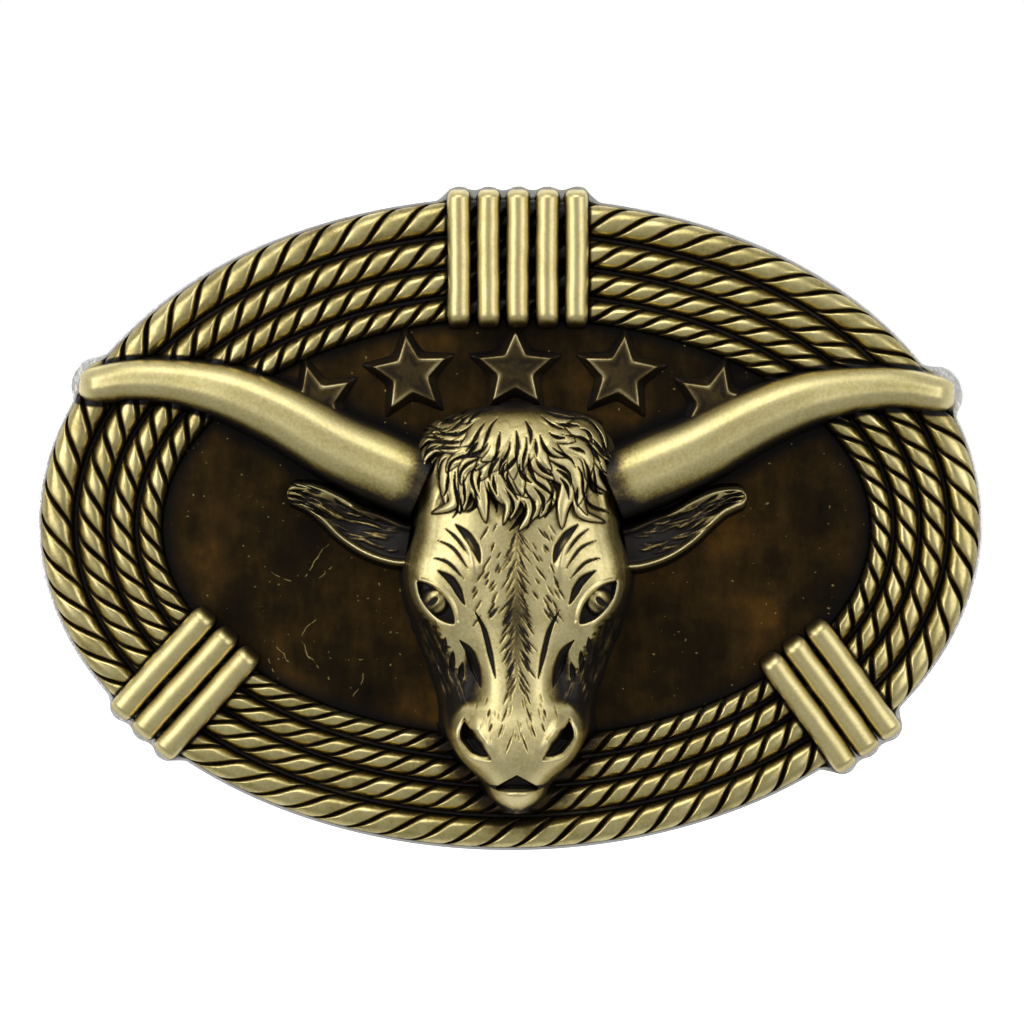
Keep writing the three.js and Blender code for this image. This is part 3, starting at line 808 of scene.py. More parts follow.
# ---- Relief surfaces: a grid of heights that strokes are cut into ----
class Relief:
    """Depth and patina over plan points, shaped by strokes, domes and washes."""

    def __init__(self, x, z, depth, patina):
        self.x, self.z, self.depth, self.patina = x, z, depth, patina

    def near(self, points, reach):
        """Grid cells close to a polyline: their place along it (0 to 1) and distance from it."""
        points = np.asarray(points, dtype=float)
        low, high = points.min(axis=0) - reach, points.max(axis=0) + reach
        cells = np.nonzero((self.x > low[0]) & (self.x < high[0])
                           & (self.z > low[1]) & (self.z < high[1]))
        px, pz = self.x[cells][:, None], self.z[cells][:, None]
        a, b = points[:-1], points[1:]
        edge = b - a
        length = np.hypot(edge[:, 0], edge[:, 1])
        t = ((px - a[:, 0]) * edge[:, 0] + (pz - a[:, 1]) * edge[:, 1]) / length**2
        t = np.clip(t, 0, 1)
        dx, dz = px - (a[:, 0] + t * edge[:, 0]), pz - (a[:, 1] + t * edge[:, 1])
        gap = np.hypot(dx, dz)
        best = np.argmin(gap, axis=1)
        pick = np.arange(len(best))
        before = arc_length(points)
        place = (before[best] + t[pick, best] * length[best]) / before[-1]
        return cells, place, gap[pick, best]

    def carve(self, points, width, depth, dark, blunt=0.35, soft=0.45):
        """A groove along a smooth stroke, tapered at both ends."""
        path = curve_through(points)
        cells, place, gap = self.near(path, width)
        taper = np.clip(np.minimum(place, 1 - place) / blunt, 0, 1) ** 0.7
        half = np.maximum(width / 2 * taper, 1e-3)
        cut = 1 - smooth(1 - soft, 1 + soft, gap / half)
        self.depth[cells] -= depth * cut * (0.4 + 0.6 * taper)
        halo = 0.34 * dark * min(1.0, width / 0.8) * taper * np.exp(-(gap / (half + 0.35)) ** 2)
        self.patina[cells] = np.maximum(self.patina[cells] + halo, dark * cut)

    def ridge(self, points, width, height, dark):
        """A raised rounded line, tapered at both ends."""
        path = curve_through(points)
        cells, place, gap = self.near(path, width)
        taper = np.clip(np.minimum(place, 1 - place) / 0.3, 0, 1)
        rise = np.exp(-(gap / (width / 2)) ** 2 * 1.6) * taper
        self.depth[cells] += height * rise
        self.patina[cells] += (dark - self.patina[cells]) * rise

    def wash(self, amount):
        self.patina = np.maximum(self.patina, amount)

    def age(self, reach, dark, rub):
        """Darken what lies below its surroundings and rub bright what stands above them."""
        lift = self.depth - blur(self.depth, reach)
        self.patina = self.patina + np.clip(-lift * dark, 0, 0.9) - np.clip(lift * rub, 0, 0.25)


def blur(values, reach):
    for axis in (0, 1):
        for _ in range(2):
            pad = [(0, 0), (0, 0)]
            pad[axis] = (reach, reach)
            wide = np.cumsum(np.pad(values, pad, mode="edge"), axis=axis)
            wide = np.insert(wide, 0, 0, axis=axis)
            size = 2 * reach + 1
            if axis == 0:
                values = (wide[size:] - wide[:-size]) / size
            else:
                values = (wide[:, size:] - wide[:, :-size]) / size
    return values


def curve_through(points, count=14):
    points = np.asarray(points, dtype=float)
    steps = arc_length(points)
    return spline(np.linspace(0, steps[-1], count), steps, points)


# ---- Steer mask ----
HEAD_ROWS = 390
HEAD_COLUMNS = 250
HEAD_SKIRT = 0.6
# Share of the half width at which the depths of each station are given.
HEAD_SHARES = [0, 0.15, 0.3, 0.45, 0.6, 0.75, 0.88, 0.96, 1]
# Height z, half width, and the depth at each share of the half width.
HEAD_STATIONS = [
    (-29.4, 1.5, [8.2, 8.2, 8.0, 7.7, 7.3, 6.8, 6.1, 5.4, 4.6]),
    (-28.2, 2.8, [10.3, 10.2, 10.0, 9.6, 9.0, 8.2, 7.1, 6.1, 4.6]),
    (-26.8, 3.5, [11.2, 11.1, 10.8, 10.3, 9.7, 8.8, 7.7, 6.5, 4.5]),
    (-24.0, 6.1, [12.2, 12.2, 12.0, 11.7, 11.1, 10.2, 8.8, 7.2, 4.5]),
    (-21.4, 7.5, [12.0, 12.0, 11.9, 11.6, 11.2, 10.4, 8.9, 7.0, 4.0]),
    (-18.6, 7.9, [11.3, 11.2, 10.9, 10.2, 9.4, 8.4, 6.6, 5.0, 3.4]),
    (-15.5, 8.9, [11.0, 10.9, 10.4, 9.0, 8.1, 7.4, 5.6, 4.4, 3.3]),
    (-11.5, 10.3, [11.2, 11.0, 10.6, 10.0, 9.5, 8.9, 6.2, 4.6, 3.3]),
    (-8.0, 11.6, [11.5, 11.4, 11.0, 10.6, 10.3, 9.8, 8.2, 5.5, 3.3]),
    (-4.5, 12.0, [11.6, 11.5, 11.3, 11.0, 10.5, 9.8, 8.4, 6.2, 3.3]),
    (-1.0, 10.9, [11.4, 11.4, 11.2, 10.9, 10.3, 9.4, 8.0, 6.0, 3.3]),
    (3.0, 10.7, [11.1, 11.1, 10.9, 10.6, 10.0, 9.1, 7.7, 5.8, 3.3]),
    (7.0, 10.6, [10.6, 10.6, 10.4, 10.0, 9.4, 8.5, 7.2, 5.6, 3.3]),
    (9.6, 9.2, [9.2, 9.2, 9.0, 8.7, 8.2, 7.5, 6.5, 5.4, 3.3]),
    (11.0, 7.4, [7.4, 7.4, 7.2, 7.0, 6.7, 6.2, 5.4, 4.6, 3.3]),
    (11.8, 4.6, [5.6, 5.6, 5.5, 5.4, 5.1, 4.8, 4.4, 3.9, 3.3]),
    (12.2, 1.6, [4.0, 4.0, 4.0, 3.9, 3.9, 3.8, 3.6, 3.5, 3.3]),
]
# Height z, and how far from the middle the rubbed, lit face reaches before painted shade darkens its
# sloping sides.
LIT_FACE = [
    (-29.6, 0.2), (-29.1, 0.9), (-28.7, 1.6), (-28.1, 2.2), (-27.3, 2.7), (-26.9, 2.6), (-26.1, 3.4),
    (-25.0, 4.7), (-24.0, 5.5), (-23, 6.1), (-21, 6.6), (-19.6, 6.2), (-18.6, 5.3), (-17.4, 4.2),
    (-16, 5.2), (-14.9, 6.2), (-12.3, 7.1), (-10.6, 8.4), (-8.5, 10.1), (-6.5, 10.9), (-4, 10.8),
    (1, 9.9), (12, 9.9),
]


def mirrored(points, side):
    """Points given as distance from the mask's middle and height, on one side of it."""
    return [(MASK_X + side * out, z) for out, z in points]


def build_head():
    """The mask: sections from crown to chin, with strokes, eyes, hair and age cut into them."""
    z_row = np.linspace(12.2, -29.6, HEAD_ROWS)
    heights = [station[0] for station in HEAD_STATIONS]
    half = spline(z_row, heights, [station[1] for station in HEAD_STATIONS])
    share = np.linspace(-1, 1, HEAD_COLUMNS)
    share = share + 0.05 * np.sin(share * np.pi)
    across = np.array([spline(np.abs(share), HEAD_SHARES, row) for _, _, row in HEAD_STATIONS])
    depth = spline(z_row, heights, across)
    x = MASK_X + share[None, :] * half[:, None]
    z = np.broadcast_to(z_row[:, None], x.shape)
    relief = Relief(x, z, depth, np.full(x.shape, 0.08))
    shade_face(relief)
    for side in (-1, 1):
        carve_face_side(relief, side)
        build_eye(relief, side)
    carve_stripe(relief)
    carve_muzzle(relief)
    relief.age(6, 0.9, 0.45)
    comb_hair(relief)
    relief.age(3, 0.6, 0.6)
    relief.wash(0.95 * smooth(10.6, 12.0, z + 0.012 * (x - MASK_X) ** 2))

    # Below the field the mask stands on the ropes.
    floor = np.where(z[:, :1] < -20.5, ROPE_TOP - 1.2, PANEL_FRONT - SUNK)
    feet = on_plate(x[:, [0, -1]] + HEAD_SKIRT * SIDES, floor, z[:, [0, -1]])
    points = between(feet, on_plate(x, relief.depth, z))
    patina = between(np.ones((HEAD_ROWS, 2)), relief.patina)
    # The first and last rows drop to the floor, so that the crown and chin have walls too.
    walls = []
    for row, lift in ((0, 0.5), (-1, -0.5)):
        wall = points[[row]]
        wall[..., 2] += lift
        wall[..., 1] = bow(wall[..., 0]) - floor[row, 0]
        walls.append(wall)
    shade = np.ones((1, patina.shape[1]))
    points = np.concatenate([walls[0], points, walls[1]])
    patina = np.concatenate([shade, patina, shade])
    sweep("steer_mask", "steer_head", points, patina, MASK_METAL)


def shade_face(relief):
    """Painted shade on the side walls, and the dark hollows between the nose bridge and the cheeks.
    """
    out = np.abs(relief.x - MASK_X)
    z = relief.z
    lit = spline(z, *np.array(LIT_FACE).T)
    ragged = 0.25 * np.sin(z * 7.0 + out * 3) + 0.18 * np.sin(z * 13.0 - out * 5)
    ragged = ragged * smooth(-18.5, -17, z) * smooth(-8, -10, z)
    # Painted shade beyond the lit face, with a ragged edge, and broader painted shade towards the
    # sides of the upper face.
    relief.wash(0.9 * smooth(-0.35, 0.55, out - lit + ragged))
    relief.wash(0.5 * smooth(-2.2, 0.2, out - lit) * smooth(-11, -4, z))
    middle = np.interp(z, [-18, -16, -13.5], [5.1, 4.6, 4.9])
    width = np.interp(z, [-18.2, -17, -15, -13], [1.5, 1.3, 0.7, 0.3])
    hollow = np.exp(-((out - middle) / width) ** 2)
    hollow = hollow * smooth(-18.9, -17.8, z) * smooth(-12.5, -14.5, z)
    relief.depth -= 0.5 * hollow
    relief.wash(0.85 * hollow)


FOREHEAD_HAIRS = 34
JAW_STREAKS = 46
# Strokes on the right half, as distance from the middle and height: points, width, depth, dark.
FACE_STROKES = [
    ([(8.1, -4.8), (6.6, -5.9), (5.3, -8.4)], 0.72, 0.5, 0.88),         # over the upper lid
    ([(6.3, -0.1), (5.2, -1.1), (4.2, -2.6), (3.7, -4.2)], 0.80, 0.5, 0.82),   # brow fold
    ([(7.4, -0.5), (6.2, -1.5), (4.9, -3.3)], 0.30, 0.25, 0.85),
    ([(8.2, -1.7), (6.6, -2.5), (5.0, -4.6)], 0.30, 0.25, 0.85),
    ([(8.7, -3.5), (7.1, -4.0), (5.4, -5.7)], 0.32, 0.25, 0.85),
    ([(4.4, -8.8), (3.4, -10.7), (2.75, -13.2), (2.15, -16.0)], 0.50, 0.40, 0.85),  # nose side
    ([(5.9, -11.9), (4.9, -13.0), (4.2, -14.9), (3.7, -16.8)], 0.85, 0.5, 0.85),    # cheek fold
    ([(7.3, -11.6), (7.4, -12.4), (7.5, -13.6)], 0.45, 0.4, 0.9),
    ([(6.5, -13.0), (6.6, -14.0), (6.6, -15.4)], 0.50, 0.4, 0.9),
    ([(5.5, -14.2), (5.7, -15.1), (5.7, -16.4)], 0.50, 0.4, 0.9),
]


def swept_hair(out, z, length, lean):
    """A short hair combed down and outwards from the middle of the face."""
    bend = 0.45 * length
    return [(out, z), (out + lean * bend, z - bend), (out + lean * length, z - length)]


def carve_face_side(relief, side):
    for points, width, depth, dark in FACE_STROKES:
        relief.carve(mirrored(points, side), width, depth, dark)
    brow = [(5.6, -0.9), (4.9, -2.2), (4.5, -3.8), (4.3, -6.0)]
    relief.ridge(mirrored(brow, side), 1.1, 0.28, 0.03)
    # Short hairs on the forehead and beside the nose, combed down and outwards.
    for i in range(FOREHEAD_HAIRS):
        out = rng.uniform(1.5, 4.6)
        z = 0.4 - 9.9 * (i + rng.random()) / FOREHEAD_HAIRS
        if out > 3.4 and z > -5:
            continue
        length = rng.uniform(0.7, 1.4)
        lean = rng.uniform(0.35, 0.8)
        stroke = swept_hair(out, z, length, lean)
        relief.carve(mirrored(stroke, side), rng.uniform(0.20, 0.30), 0.06, rng.uniform(0.5, 0.85))
    # Fur along the dark hollows, as streaks that follow the jaw.
    for _ in range(JAW_STREAKS):
        z = rng.uniform(-17.0, -9.5)
        out = np.interp(z, [-18, -10], [5.0, 9.2]) + rng.uniform(-1.0, 2.0)
        length = rng.uniform(0.8, 2.2)
        stroke = [(out, z), (out - 0.12 * length, z - length / 2), (out - 0.32 * length, z - length)]
        relief.ridge(mirrored(stroke, side), rng.uniform(0.28, 0.45), 0.14, rng.uniform(0.62, 0.85))


EYE = {"out": 8.3, "z": -8.1, "half": 2.85, "open": 1.08, "lean": math.atan2(-0.757, -0.654)}


def build_eye(relief, side):
    """An almond opening between two raised lids, with a domed ball and a dark pupil in it."""
    out = (relief.x - MASK_X) * side
    dx, dz = out - EYE["out"], relief.z - EYE["z"]
    along = dx * math.cos(EYE["lean"]) + dz * math.sin(EYE["lean"])
    across = dx * math.sin(EYE["lean"]) - dz * math.cos(EYE["lean"])
    # Positive across is the brow side.
    t = np.clip(along / EYE["half"], -1, 1)
    opening = EYE["open"] * (1 - t**2) ** 0.85
    past = np.abs(across) - opening
    reach = smooth(1.22, 1.0, np.abs(along / EYE["half"]))
    lower_lid = np.exp(-((past - 0.42) / 0.42) ** 2)
    upper_lid = np.exp(-((past - 0.28) / 0.22) ** 2)
    lid = np.where(across < 0, lower_lid, upper_lid)
    relief.depth += 0.32 * lid * reach
    relief.patina = relief.patina * (1 - 0.6 * lid * reach)
    inside = smooth(0.06, -0.10, past) * (np.abs(along) < EYE["half"])
    relief.depth -= 0.85 * inside
    relief.patina = np.maximum(relief.patina, inside)
    ball = np.hypot(along + 0.15, across)
    dome = np.sqrt(np.clip(1.45**2 - ball**2, 0, None)) * inside
    relief.depth += 0.60 * dome
    # A dull iris with a painted highlight along its lower rim and painted glint streaks across it,
    # round a black pupil with a cut in it.
    glow = inside * smooth(1.25, 1.0, ball)
    lit = np.clip(0.52 - 0.34 * across - 0.16 * np.cos(along * 8), 0.08, 1)
    relief.patina = relief.patina * (1 - glow) + glow * lit
    pupil = np.hypot((along + 0.25) / 0.34, (across + 0.15) / 0.72)
    relief.patina = np.maximum(relief.patina, inside * smooth(1.2, 0.7, pupil))
    relief.depth -= 0.25 * inside * smooth(1.1, 0.6, pupil)


STRIPE_HAIRS = 104
NOSE_HAIRS = 30
# Height z, distance from the middle and length of the creases on the nose.
NOSE_CREASES = [
    (-16.9, 0.8, 1.6), (-18.6, 0.9, 1.7), (-20.4, 1.4, 1.5), (-21.6, 0.5, 1.8), (-20.3, 2.5, 1.0),
    (-18.9, 2.7, 0.9),
]


def carve_stripe(relief):
    """The chevron of short dark hairs down the middle of the face."""
    from_middle = np.abs(relief.x - MASK_X)
    strength = np.interp(relief.z, [-16.5, -14, -12, -9, -7.2, -4, -1, 0.5],
                         [0, 0.38, 0.62, 0.62, 0.42, 0.26, 0.34, 0.5])
    width = np.interp(relief.z, [-16, -11, -8, -2, 1], [0.4, 0.95, 0.8, 0.6, 1.6])
    relief.wash(strength * np.exp(-(from_middle / width) ** 2))
    for i in range(STRIPE_HAIRS):
        z = -0.6 - 16.0 * (i + rng.random()) / STRIPE_HAIRS
        weight = float(np.interp(z, [-17, -13, -9, -6, -1], [0.5, 1.0, 1.0, 0.7, 0.6]))
        side = -1 if i % 2 else 1
        start = abs(rng.normal(0, 0.42 * weight))
        length = rng.uniform(0.9, 1.8)
        lean = rng.uniform(0.45, 0.85)
        stroke = swept_hair(start, z, length, lean)
        dark = rng.uniform(0.5, 0.9) * (0.4 + 0.6 * weight)
        relief.carve(mirrored(stroke, side), rng.uniform(0.18, 0.25), 0.08, dark)
    for z, out, length in NOSE_CREASES:
        for side in (-1, 1):
            relief.carve(mirrored(swept_hair(out, z, length, 0.38), side), 0.24, 0.12, 0.6)
    for i in range(NOSE_HAIRS):
        out = abs(rng.normal(0, 1.9))
        z = -17.2 - 4.6 * (i + rng.random()) / NOSE_HAIRS
        length = rng.uniform(0.6, 1.4)
        side = -1 if i % 2 else 1
        relief.carve(mirrored(swept_hair(out, z, length, 0.24), side), 0.2, 0.05, 0.35)


MOUTH_HALF = 2.1


def carve_muzzle(relief):
    out = np.abs(relief.x - MASK_X)
    for side in (-1, 1):
        wing = [(5.9, -20.2), (6.2, -21.7), (5.4, -23.6), (4.0, -25.0)]
        relief.ridge(mirrored(wing, side), 1.1, 0.45, 0.10)
        septum = [(4.6, -19.6), (3.6, -21.6), (2.3, -23.6)]
        relief.ridge(mirrored(septum, side), 1.3, 0.35, 0.06)
        hollow = [(5.4, -19.9), (5.1, -21.4), (4.0, -23.0), (2.6, -24.1)]
        relief.carve(mirrored(hollow, side), 1.8, 0.6, 0.62, soft=0.8)
        nostril = [(5.35, -20.3), (5.2, -21.3), (4.6, -22.3), (3.7, -23.2), (2.9, -23.7)]
        relief.carve(mirrored(nostril, side), 1.15, 1.3, 1.0, blunt=0.32, soft=0.5)
        depths = [(5.35, -20.6), (5.1, -21.4), (4.6, -22.1)]
        relief.carve(mirrored(depths, side), 1.2, 0.6, 1.0, blunt=0.5, soft=0.4)
    # The mouth is a low dark triangle over the lower lip.
    roof = -27.0 + 1.3 * np.clip(1 - out / MOUTH_HALF, 0, 1) ** 0.9
    sill = -27.15 + 0.10 * np.clip(1 - (out / MOUTH_HALF) ** 2, 0, 1)
    mouth = smooth(0.12, -0.05, relief.z - roof) * smooth(-0.05, 0.10, relief.z - sill)
    mouth = mouth * (out < MOUTH_HALF)
    relief.depth -= 1.2 * mouth
    relief.wash(mouth)
    lips = [(-3.2, -26.7), (-2.2, -27.0), (0, -27.1), (2.2, -27.0), (3.2, -26.7)]
    relief.carve(mirrored(lips, 1), 0.5, 0.45, 1.0, blunt=0.2)
    lower_lip = [(-2.3, -27.6), (0, -27.8), (2.3, -27.6)]
    relief.ridge(mirrored(lower_lip, 1), 0.9, 0.3, 0.05)


# ---- Hair: a combed cap with pointed locks at its fringe and gouges along the strands ----
POLL = (MASK_X, 12.4)
# Turn in degrees and how far the fringe reaches that way.
FRINGE = [
    (180, 6.0), (189, 8.0), (197, 10.5), (204, 11.4), (211, 12.5), (217, 11.6), (224, 12.9),
    (229, 12.6), (233, 14.4), (238, 12.6), (244, 12.4), (252, 11.0), (261, 12.8), (267, 12.0),
    (273, 13.4), (279, 11.8), (286, 12.2), (295, 11.4), (302, 13.4), (307, 15.3), (313, 13.2),
    (322, 13.4), (328, 12.0), (333, 12.3), (342, 10.3), (350, 7.8), (360, 6.0),
]
# Reach of the tips as a share of the fringe, lock width; from the fringe up.
HAIR_LAYERS = [(1.0, 1.9), (0.80, 2.1), (0.58, 2.0)]
GOUGES = 80


def fringe_reach(turn):
    return spline(np.asarray(turn, dtype=float), *np.array(FRINGE, dtype=float).T)


def comb_hair(relief):
    out = np.hypot(relief.x - POLL[0], relief.z - POLL[1])
    turn = np.degrees(np.arctan2(relief.z - POLL[1], relief.x - POLL[0])) % 360
    turn = np.where(turn < 90, turn + 360, turn)
    reach = fringe_reach(turn)
    skin = relief.depth.copy()
    shade = smooth(0.2, -1.6, out - reach)
    relief.patina = np.maximum(relief.patina, 0.45 * shade)
    relief.depth -= 0.3 * shade
    cap = smooth(0.0, -2.0, out - 0.74 * reach)
    relief.depth += (skin + 1.0 * cap - relief.depth) * np.minimum(1, cap * 3)
    relief.patina *= 1 - 0.85 * smooth(0.3, 1.0, cap)
    tips = np.array(FRINGE[2:-2], dtype=float)
    for level, (share, width) in enumerate(HAIR_LAYERS):
        for turn, tip in tips[level % 2::1 + (level > 0)]:
            turn = turn + rng.uniform(-1.5, 1.5)
            far = tip * share * rng.uniform(0.97, 1.03)
            near = far * rng.uniform(0.30, 0.45)
            lay_lock(relief, skin, turn, near, far, width * rng.uniform(0.8, 1.15), level)
    for i in range(GOUGES):
        turn = 184 + 172 * ((i * 0.618034) % 1)
        share = 0.10 + 0.74 * ((i + 0.5) / GOUGES) ** 0.6
        start = float(fringe_reach([turn])[0]) * share
        length = rng.uniform(1.8, 4.2)
        relief.carve(strand(turn, start, start + length, downwards(turn, -0.15, 0.2)),
                     rng.uniform(0.26, 0.42), 0.5, 1.0, blunt=0.5)


def downwards(turn, low, high):
    """A random swerve that mostly bends a strand towards straight down."""
    return math.copysign(1, 270 - turn) * rng.uniform(low, high)


def strand(turn, near, far, swerve):
    """A waved path along the hair's lie, from near to far off the poll."""
    steps = np.linspace(near, far, 5)
    sway = 0.09 * np.sin(steps * 0.9 + turn * 0.04)
    sway = sway + swerve * ((steps - near) / (far - near)) ** 2 * 0.6
    heading = math.radians(turn) + sway
    return np.stack([POLL[0] + steps * np.cos(heading), POLL[1] + steps * np.sin(heading)], axis=1)


def lay_lock(relief, skin, turn, near, far, width, level):
    """A pointed lock that grows out of the cap, with painted shadow beneath and beside its tip."""
    path = curve_through(strand(turn, near, far, downwards(turn, -0.12, 0.32)), 18)
    cells, place, gap = relief.near(path, width + 0.6)
    profile = np.clip(place / 0.25, 0, 1) ** 0.5 * np.clip((1 - place) / 0.55, 0, 1) ** 0.62
    half = np.maximum(width / 2 * profile, 0.02)
    grown = smooth(0.15, 0.6, place)
    # Painted shadow round the tip.
    beside = smooth(0.45, 0.85, place) * smooth(0.22, 0.03, gap - half)
    relief.patina[cells] = np.maximum(relief.patina[cells], beside)
    inside = gap < half
    cells = tuple(axis[inside] for axis in cells)
    gap, half, place, grown = gap[inside], half[inside], place[inside], grown[inside]
    a = gap / half
    lift = 0.75 + 0.16 * level
    height = skin[cells] + lift * (1 - 0.35 * smooth(0.75, 1.0, place))
    height = height + 0.42 * np.sqrt(1 - a**2) * grown
    rises = height > relief.depth[cells]
    relief.depth[cells] = np.where(rises, height, relief.depth[cells])
    edge = smooth(0.11, 0.01, half - gap) * smooth(0.45, 0.85, place)
    own = np.maximum(0.10, 0.95 * edge)
    relief.patina[cells] = np.where(rises | (grown > 0.5), own, relief.patina[cells])


# ---- Ears ----
# Distance from the middle, height z, half width; from the tip to the root.
EAR = np.array([
    [23.6, 2.75, 0.5], [23.3, 2.7, 0.95], [22.4, 2.55, 1.25], [20.8, 2.1, 1.55], [19.0, 1.0, 1.85],
    [17.0, -0.5, 2.15], [14.8, -1.6, 2.4], [12.4, -2.5, 2.3], [11.2, -2.7, 2.2],
])
EAR_LIFT = 0.4                  # how much higher the left ear sits
EAR_SKIRT = 0.55
EAR_ROWS = 150
EAR_COLUMNS = 60
EAR_STREAKS = 52


def build_ear(name, side):
    line, tangent, normal, s = limb(EAR, side, EAR_LIFT, EAR_ROWS, 1.2)
    v = np.sin(np.linspace(-np.pi / 2, np.pi / 2, EAR_COLUMNS))[None, :]
    half = line[:, 2:3]
    x, z = limb_plan(line, normal, v, half)
    along = (s / s[-1])[:, None]
    inset = (1 - np.abs(v)) * half
    near_tip = smooth(0.0, 2.2, s[:, None])
    rim = np.exp(-((inset - 0.38) / 0.30) ** 2)
    body = 1.3 * (1 - np.abs(v) ** 3.0) ** 0.5
    cup = smooth(0.3, 1.1, inset) * near_tip
    depth = PANEL_FRONT + 0.5 + body + 0.45 * rim - 0.7 * cup * smooth(0.2, 0.6, along)
    depth = depth + 1.2 * smooth(0.5, 1.0, along)
    upper = smooth(-0.2, 0.5, v)
    hollow = smooth(0.20, 0.50, along + 0.06 * v)
    patina = 0.12 + 0.16 * cup + 0.72 * hollow * np.maximum(cup, upper * smooth(0.45, 0.65, along))
    patina = np.maximum(patina, 0.9 * smooth(0.94, 1.0, np.abs(v)))
    patina = patina + 0.2 * smooth(0.85, 1.0, along)
    patina = patina * (1 - 0.7 * rim * (1 - upper * smooth(0.45, 0.65, along)))
    relief = Relief(x, z, depth, patina)
    # Strokes fan from the root to the tip: dark cuts in the gold half, pale ridges near the root.
    for i in range(EAR_STREAKS):
        place = 0.16 + 0.8 * (i + rng.random()) / EAR_STREAKS
        row = int(place * (EAR_ROWS - 1))
        base = line[row, :2] + normal[row] * rng.uniform(-0.5, 0.75) * line[row, 2]
        length = rng.uniform(1.4, 3.0)
        heading = -tangent[row] * 0.95 - normal[row] * rng.uniform(0.0, 0.3)
        stroke = [base, base + heading * length * 0.5, base + heading * length + np.array([0, 0.1])]
        if place > 0.5:
            relief.ridge(stroke, rng.uniform(0.24, 0.40), 0.3, rng.uniform(0.50, 0.78))
        else:
            relief.carve(stroke, rng.uniform(0.20, 0.32), 0.25, 0.95)
    relief.age(3, 1.2, 0.6)
    foot_x, foot_z = limb_plan(line, normal, SIDES, half + EAR_SKIRT)
    points = between(on_plate(foot_x, PANEL_FRONT - SUNK, foot_z), on_plate(x, relief.depth, z))
    patina = between(np.ones((EAR_ROWS, 2)), relief.patina)
    sweep(name, name, points, patina, MASK_METAL)


# ---- Back fittings: the lugs, the bail and the strap hook ----
# The hinge line at x and y; the bail's wire, bores, reaches and bends; a lug's half widths.
HINGE = (21.0, 5.2)
WIRE_RADIUS = 1.3
BORE_RADIUS = 1.45
BAR_X = 33.0
ARM_Z = 20.5
PIN_END_Z = 14.4
HINGE_BEND = 1.8
BAR_BEND = 3.5
LUG_HEAD = 3.0
LUG_FOOT = 3.85
FIT_GAP = 0.3
WIRE_STEP = 0.3
HOOK_X = -33.0
HOOK_LEAN = 2.4


def bow_angle(x):
    return math.atan(2 * BOW * x / OUTER["a"] ** 2)


def on_back(points, x):
    """Points given as across, height off the plate's back and z, seated on it at x."""
    turn = bow_angle(x)
    across, rise, z = np.moveaxis(np.asarray(points, dtype=float), -1, 0)
    seat = bow(x) - PLATE_BACK + FIT_GAP
    return np.stack([x + across * math.cos(turn) - rise * math.sin(turn),
                     seat + across * math.sin(turn) + rise * math.cos(turn), z], axis=-1)


def build_lug(name):
    """A tab with a rounded head, bored for the wire, on a brazed foot."""
    low, high = node_box(name)
    rise = HINGE[1] - (bow(HINGE[0]) - PLATE_BACK + FIT_GAP)
    arc = np.linspace(-0.25, np.pi + 0.25, 60)
    head = np.stack([LUG_HEAD * np.cos(arc), rise + LUG_HEAD * np.sin(arc)], axis=1)
    drop = np.linspace(rise - 1.2, 0.0, 14)
    flare = LUG_HEAD - 0.12 + (LUG_FOOT - LUG_HEAD + 0.12) * smooth(2.6, 0.2, drop) ** 1.5
    left_side = np.stack([-flare, drop], axis=1)
    foot = np.stack([np.linspace(-LUG_FOOT, LUG_FOOT, 16)[1:-1], np.zeros(14)], axis=1)
    outline = np.concatenate([head, left_side, foot, (left_side * [-1, 1])[::-1]])
    turn = np.arctan2(outline[:, 1] - rise, outline[:, 0])
    bore = np.stack([np.cos(turn), np.sin(turn)], axis=1)
    outwards = unit(outline - [0, rise])
    middle, half = (low[2] + high[2]) / 2, (high[2] - low[2]) / 2
    # Inset from the outline, share of the half thickness, patina; then the bore's rings.
    rim = [(0.0, -0.82, 0.25), (0.12, -0.95, 0.1), (0.4, -1.0, 0.2), (0.9, -1.0, 0.35)]
    rings = [(outline - outwards * inset, share, dark) for inset, share, dark in rim]
    centre = np.array([0.0, rise])
    for radius, share, dark in ((BORE_RADIUS + 0.35, -1.0, 0.35), (BORE_RADIUS + 0.08, -0.97, 0.1),
                                (BORE_RADIUS, -0.85, 0.8)):
        rings.append((centre + bore * radius, share, dark))
    rings += [(plan, -share, dark) for plan, share, dark in rings[::-1]]
    spread = smooth(1.3, 0.0, outline[:, 1])
    columns = [np.column_stack([plan, np.full(len(plan), middle + half * share)])
               for plan, share, _ in rings]
    # The lug leans with the plate, so it is moved along to put its bore on the hinge line.
    bore_middle = on_back([0.0, rise, 0.0], HINGE[0])
    points = on_back(np.stack(columns, axis=1), HINGE[0]) + [*(HINGE - bore_middle[:2]), 0.0]
    patina = np.stack([np.maximum(dark, 0.75 * spread) for _, _, dark in rings], axis=1)
    sweep(name + "_tab", name, points, patina, PLATE_METAL, closed_rows=True)


